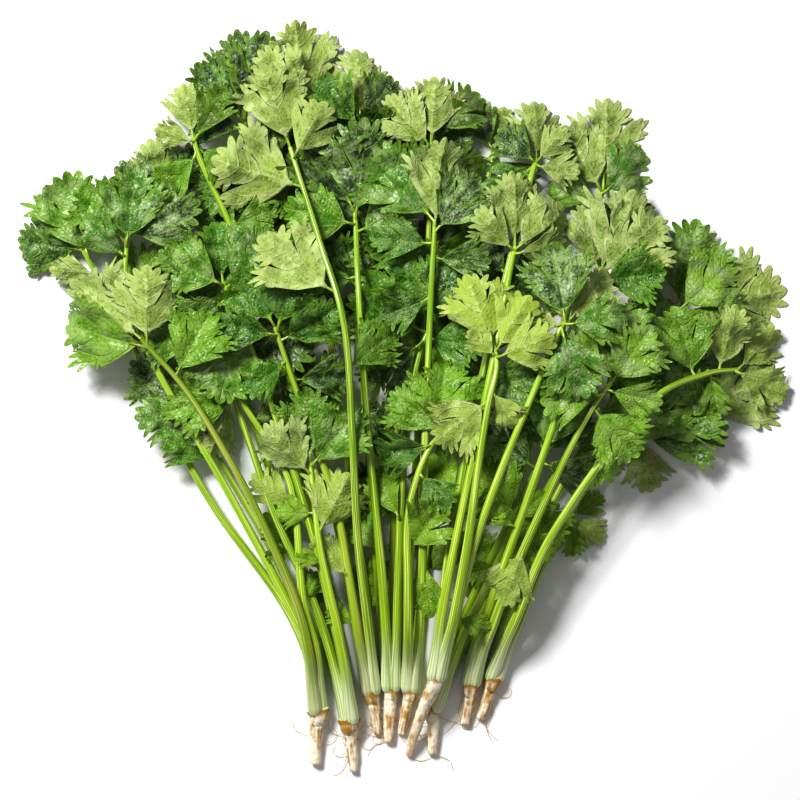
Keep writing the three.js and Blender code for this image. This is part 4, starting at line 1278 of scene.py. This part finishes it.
# crowns and taproots: ringed skins with ribs and wrinkles, and hair-like rootlets
rootShape = {
    "sides": 28,
    "ringStep": 0.7,  # mm
    "scallop": 0.1,
    "scallops": 5,
    "scallopReach": 3.5,
    "wrinkle": 0.13,
    "creases": ((0.8, 0.9), (2, 0.25)),  # how fine each is round the root and down it
    "dome": ((-0.9, 0.4), (-0.75, 0.6), (-0.4, 0.8)),  # (share of its height, share of the radius)
    "domeHeight": 2.2,
    "bluntEnd": ((0.35, 0.8), (0.55, 0.45)),  # (mm past the end, share of the radius)
    "taper": 0.55,  # how far the crown has narrowed to the root at its lower edge
    "lowest": 0.05,  # mm above the surface
    "brown": {"a": 0.4, "b": 0.55, "c": 0.8, "d": 0.45, "e": 0.7, "f": 0.5, "g": 0.5, "h": 0.9,
              "i": 0.8},
}

rootletShape = {
    "number": {"a": 2, "b": 5, "c": 6, "d": 5, "e": 4, "f": 4, "g": 4, "h": 4, "i": 4},
    "steps": 12,
    "stride": (0.7, 1.25),  # mm
    "from": (0.15, 0.98),  # share of the way down the root
    "lean": (0.2, 1.6),
    "turn": (-0.25, 0.25),  # radians at each step
    "drift": (-0.05, 0.05),
    "wiggle": (-0.12, 0.12),
    "sunk": 0.8,  # starts at this share of the root's radius
    "radius": 0.17,
    "taper": 0.4,
    "height": 0.25,
    "along": 0.1,
    "sides": 5,
}


def rootRows(plant):
    # the crown's top, its lower edge and the root's rows, each with its radius
    heading = math.radians(plant["heading"])
    back = Vector((-math.cos(heading), -math.sin(heading), 0))
    top, radius = rootMiddle(*plant["crown"]), plant["crown"][2]
    lower = mix(radius, plant["root"][0][2], rootShape["taper"])
    rows = [(top, radius), (top + back * partSizes["shoulderLength"], lower)]
    return rows + [(rootMiddle(*row), row[2]) for row in plant["root"]], back


def rootStations(plant, shape):
    # sections down the root: centre, the way down, radius and distance from the top
    rows, back = rootRows(plant)
    centres = [row[0] for row in rows]
    lengths = [0]
    for a, b in zip(centres, centres[1:]):
        lengths.append(lengths[-1] + (b - a).length)
    total = lengths[-1]
    count = int(total / shape["ringStep"])
    # a dome over the top, the skin down to the tip, and a blunt end
    places = [(away * shape["domeHeight"], scale) for away, scale in shape["dome"]]
    places += [(total * k / count, 1) for k in range(count + 1)]
    places += [(total + past, scale) for past, scale in shape["bluntEnd"]]
    stations = []
    for down, scale in places:
        inside = min(max(down, 0), total)
        k = max(j for j in range(len(lengths) - 1) if lengths[j] <= inside)
        share = (inside - lengths[k]) / (lengths[k + 1] - lengths[k])
        centre = splinePoint(centres, (k + share) / (len(centres) - 1))
        radius = mix(rows[k][1], rows[k + 1][1], eased(share)) * scale
        way = back if k == 0 else (centres[k + 1] - centres[k]).normalized()
        if down < 0:
            centre = centres[0] + back * down
        if down > total:
            centre = centres[-1] + way * (down - total)
        stations.append((centre, way, radius, down))
    return stations


def rootSkinPiece(letter, shape):
    stations = rootStations(plants[letter], shape)
    dice = random.Random("root " + letter)
    phase, tread = dice.uniform(0, 6), dice.uniform(0, 50)
    sides = shape["sides"]
    points, downs, arounds = [], [], []
    for centre, way, radius, down in stations:
        side = Vector((-way.y, way.x, 0)).normalized()
        upright = side.cross(way)
        if upright.z < 0:
            upright = -upright
        crownness = math.exp(-max(down, 0) / shape["scallopReach"])
        for s in range(sides):
            turn = 2 * math.pi * s / sides
            lump = 1 + shape["scallop"] * crownness * math.cos(shape["scallops"] * turn + phase)
            creases = [noise.noise(Vector((math.cos(turn) * around, math.sin(turn) * around,
                                           down * along + tread)))
                       for around, along in shape["creases"]]
            lump += shape["wrinkle"] * (1 - crownness) * (creases[0] + creases[1])
            point = centre + (side * math.cos(turn) + upright * math.sin(turn)) * radius * lump
            point.z = max(point.z, shape["lowest"])
            points.append(toFrame(point))
            downs.append(down / 1000)
            arounds.append(abs(s / sides * 2 - 1) + phase)
    rings = len(stations)
    faces = []
    for r in range(rings - 1):
        for s in range(sides):
            a, b = r * sides + s, r * sides + (s + 1) % sides
            faces.append((a, b, b + sides, a + sides))
    faces.append(tuple(range(sides))[::-1])
    faces.append(tuple(range((rings - 1) * sides, rings * sides)))
    mesh = bpy.data.meshes.new("root skin")
    mesh.from_pydata(points, [], faces)
    work = bmesh.new()
    work.from_mesh(mesh)
    bmesh.ops.recalc_face_normals(work, faces=work.faces)
    work.to_mesh(mesh)
    work.free()
    keep(mesh, "FLOAT", downRoot=downs, aroundRoot=arounds,
         brown=[shape["brown"][letter]] * len(points))
    mesh.polygons.foreach_set("use_smooth", [True] * len(mesh.polygons))
    mesh.materials.append(rootSkin)
    return newObject("taproot_skin_" + letter, mesh)


def rootletsPiece(letter, shape):
    # thin rootlets that leave the root on its sides and wander over the surface
    stations = [row for row in rootStations(plants[letter], rootShape) if row[3] > 2]
    dice = random.Random("rootlets " + letter)
    paths = []
    for _ in range(shape["number"][letter]):
        centre, way, radius, _ = stations[int(dice.uniform(*shape["from"]) * len(stations))]
        side = Vector((-way.y, way.x, 0)).normalized() * dice.choice((-1, 1))
        point = centre + side * radius * shape["sunk"]
        course = (side + way * dice.uniform(*shape["lean"])).normalized()
        turn, drift = dice.uniform(*shape["turn"]), dice.uniform(*shape["drift"])
        path = []
        for k in range(shape["steps"]):
            share = k / (shape["steps"] - 1)
            radius = shape["radius"] * mix(1, shape["taper"], share)
            path.append((toFrame(point), radius / 1000, shape["along"]))
            course.rotate(Euler((0, 0, turn)))
            turn += drift + dice.uniform(*shape["wiggle"])
            point = point + course * dice.uniform(*shape["stride"])
            point.z = max(mix(point.z, shape["height"], 0.25), shape["height"])
        paths.append(path)
    mesh = pathsMesh("rootlet paths", paths)
    return grown("rootlets_" + letter, mesh, growStalks, {"Skin": rootletSkin, "Sides": shape["sides"],
                                                          "Rib Depth": 0})


for letter in plants:
    for piece in (rootSkinPiece(letter, rootShape), rootletsPiece(letter, rootletShape)):
        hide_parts("taproot_" + letter)
        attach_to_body(piece, "root")
print("roots made")

# floor, light and camera
studio = {
    "width": 0.32,
    "lens": 200,
    "sensor": 36,
    "focus": (-0.0006, -0.00115, 0.02),
    "floor": (251, 251, 251),
    "thread": (240, 240, 242),
    "weaveScale": 330,
    "weaveTurn": 1.1,
    "roughness": 0.9,
    "specular": 0.2,
    "sky": (0.99, 0.975, 1, 1),
    "world": 0.29,
    "key": 24,
    "gamma": 0.79,
    "exposure": 0.13,
    "keyAt": (-0.58, 0.68, 1.06),
    "keySize": 0.36,
    "floorReach": 3,
    "floorHeight": -0.0002,
}

floorMesh = bpy.data.meshes.new("floor")
reach = studio["floorReach"]
floorMesh.from_pydata([(x * reach, y * reach, studio["floorHeight"])
                       for x, y in ((-1, -1), (1, -1), (1, 1), (-1, 1))], [], [(0, 1, 2, 3)])
floor = newObject("floor", floorMesh)
cloth, clothTree = newMaterial("pale cloth")
clothAt = put(clothTree, "ShaderNodeTexCoord").outputs["Object"]
turned = outputOf(clothTree, "ShaderNodeMapping",
                  {"Vector": clothAt, "Rotation": (0, 0, studio["weaveTurn"])})
weave = put(clothTree, "ShaderNodeTexWave", {
    "Vector": turned, "Scale": studio["weaveScale"], "Distortion": 0.4, "Detail": 1}).outputs["Fac"]
dress(clothTree, studio, layered(clothTree, studio, "floor", (weave, "thread")))
floorMesh.materials.append(cloth)

world = bpy.data.worlds.new("soft light")
bpy.context.scene.world = world
world.use_nodes = True
background = world.node_tree.nodes["Background"].inputs
background["Color"].default_value = studio["sky"]
background["Strength"].default_value = studio["world"]
keyLight = bpy.data.lights.new("key", "AREA")
keyLight.energy = studio["key"]
keyLight.size = studio["keySize"]
key = newObject("key", keyLight)
key.location = studio["keyAt"]
key.rotation_euler = Vector(studio["keyAt"]).to_track_quat("Z", "Y").to_euler()

cameraData = bpy.data.cameras.new("camera")
cameraData.lens = studio["lens"]
cameraData.sensor_width = studio["sensor"]
cameraData.clip_end = 20
camera = newObject("camera", cameraData)
focus = Vector(studio["focus"])
camera.location = focus + Vector((0, 0, studio["width"] * studio["lens"] / studio["sensor"]))
bpy.context.scene.camera = camera
viewing = bpy.context.scene.view_settings
viewing.view_transform = "Standard"
viewing.gamma = studio["gamma"]
viewing.exposure = studio["exposure"]

print("triangles in all, with the solids and the master blades:",
      sum(len(mesh.loop_triangles) for mesh in bpy.data.meshes))
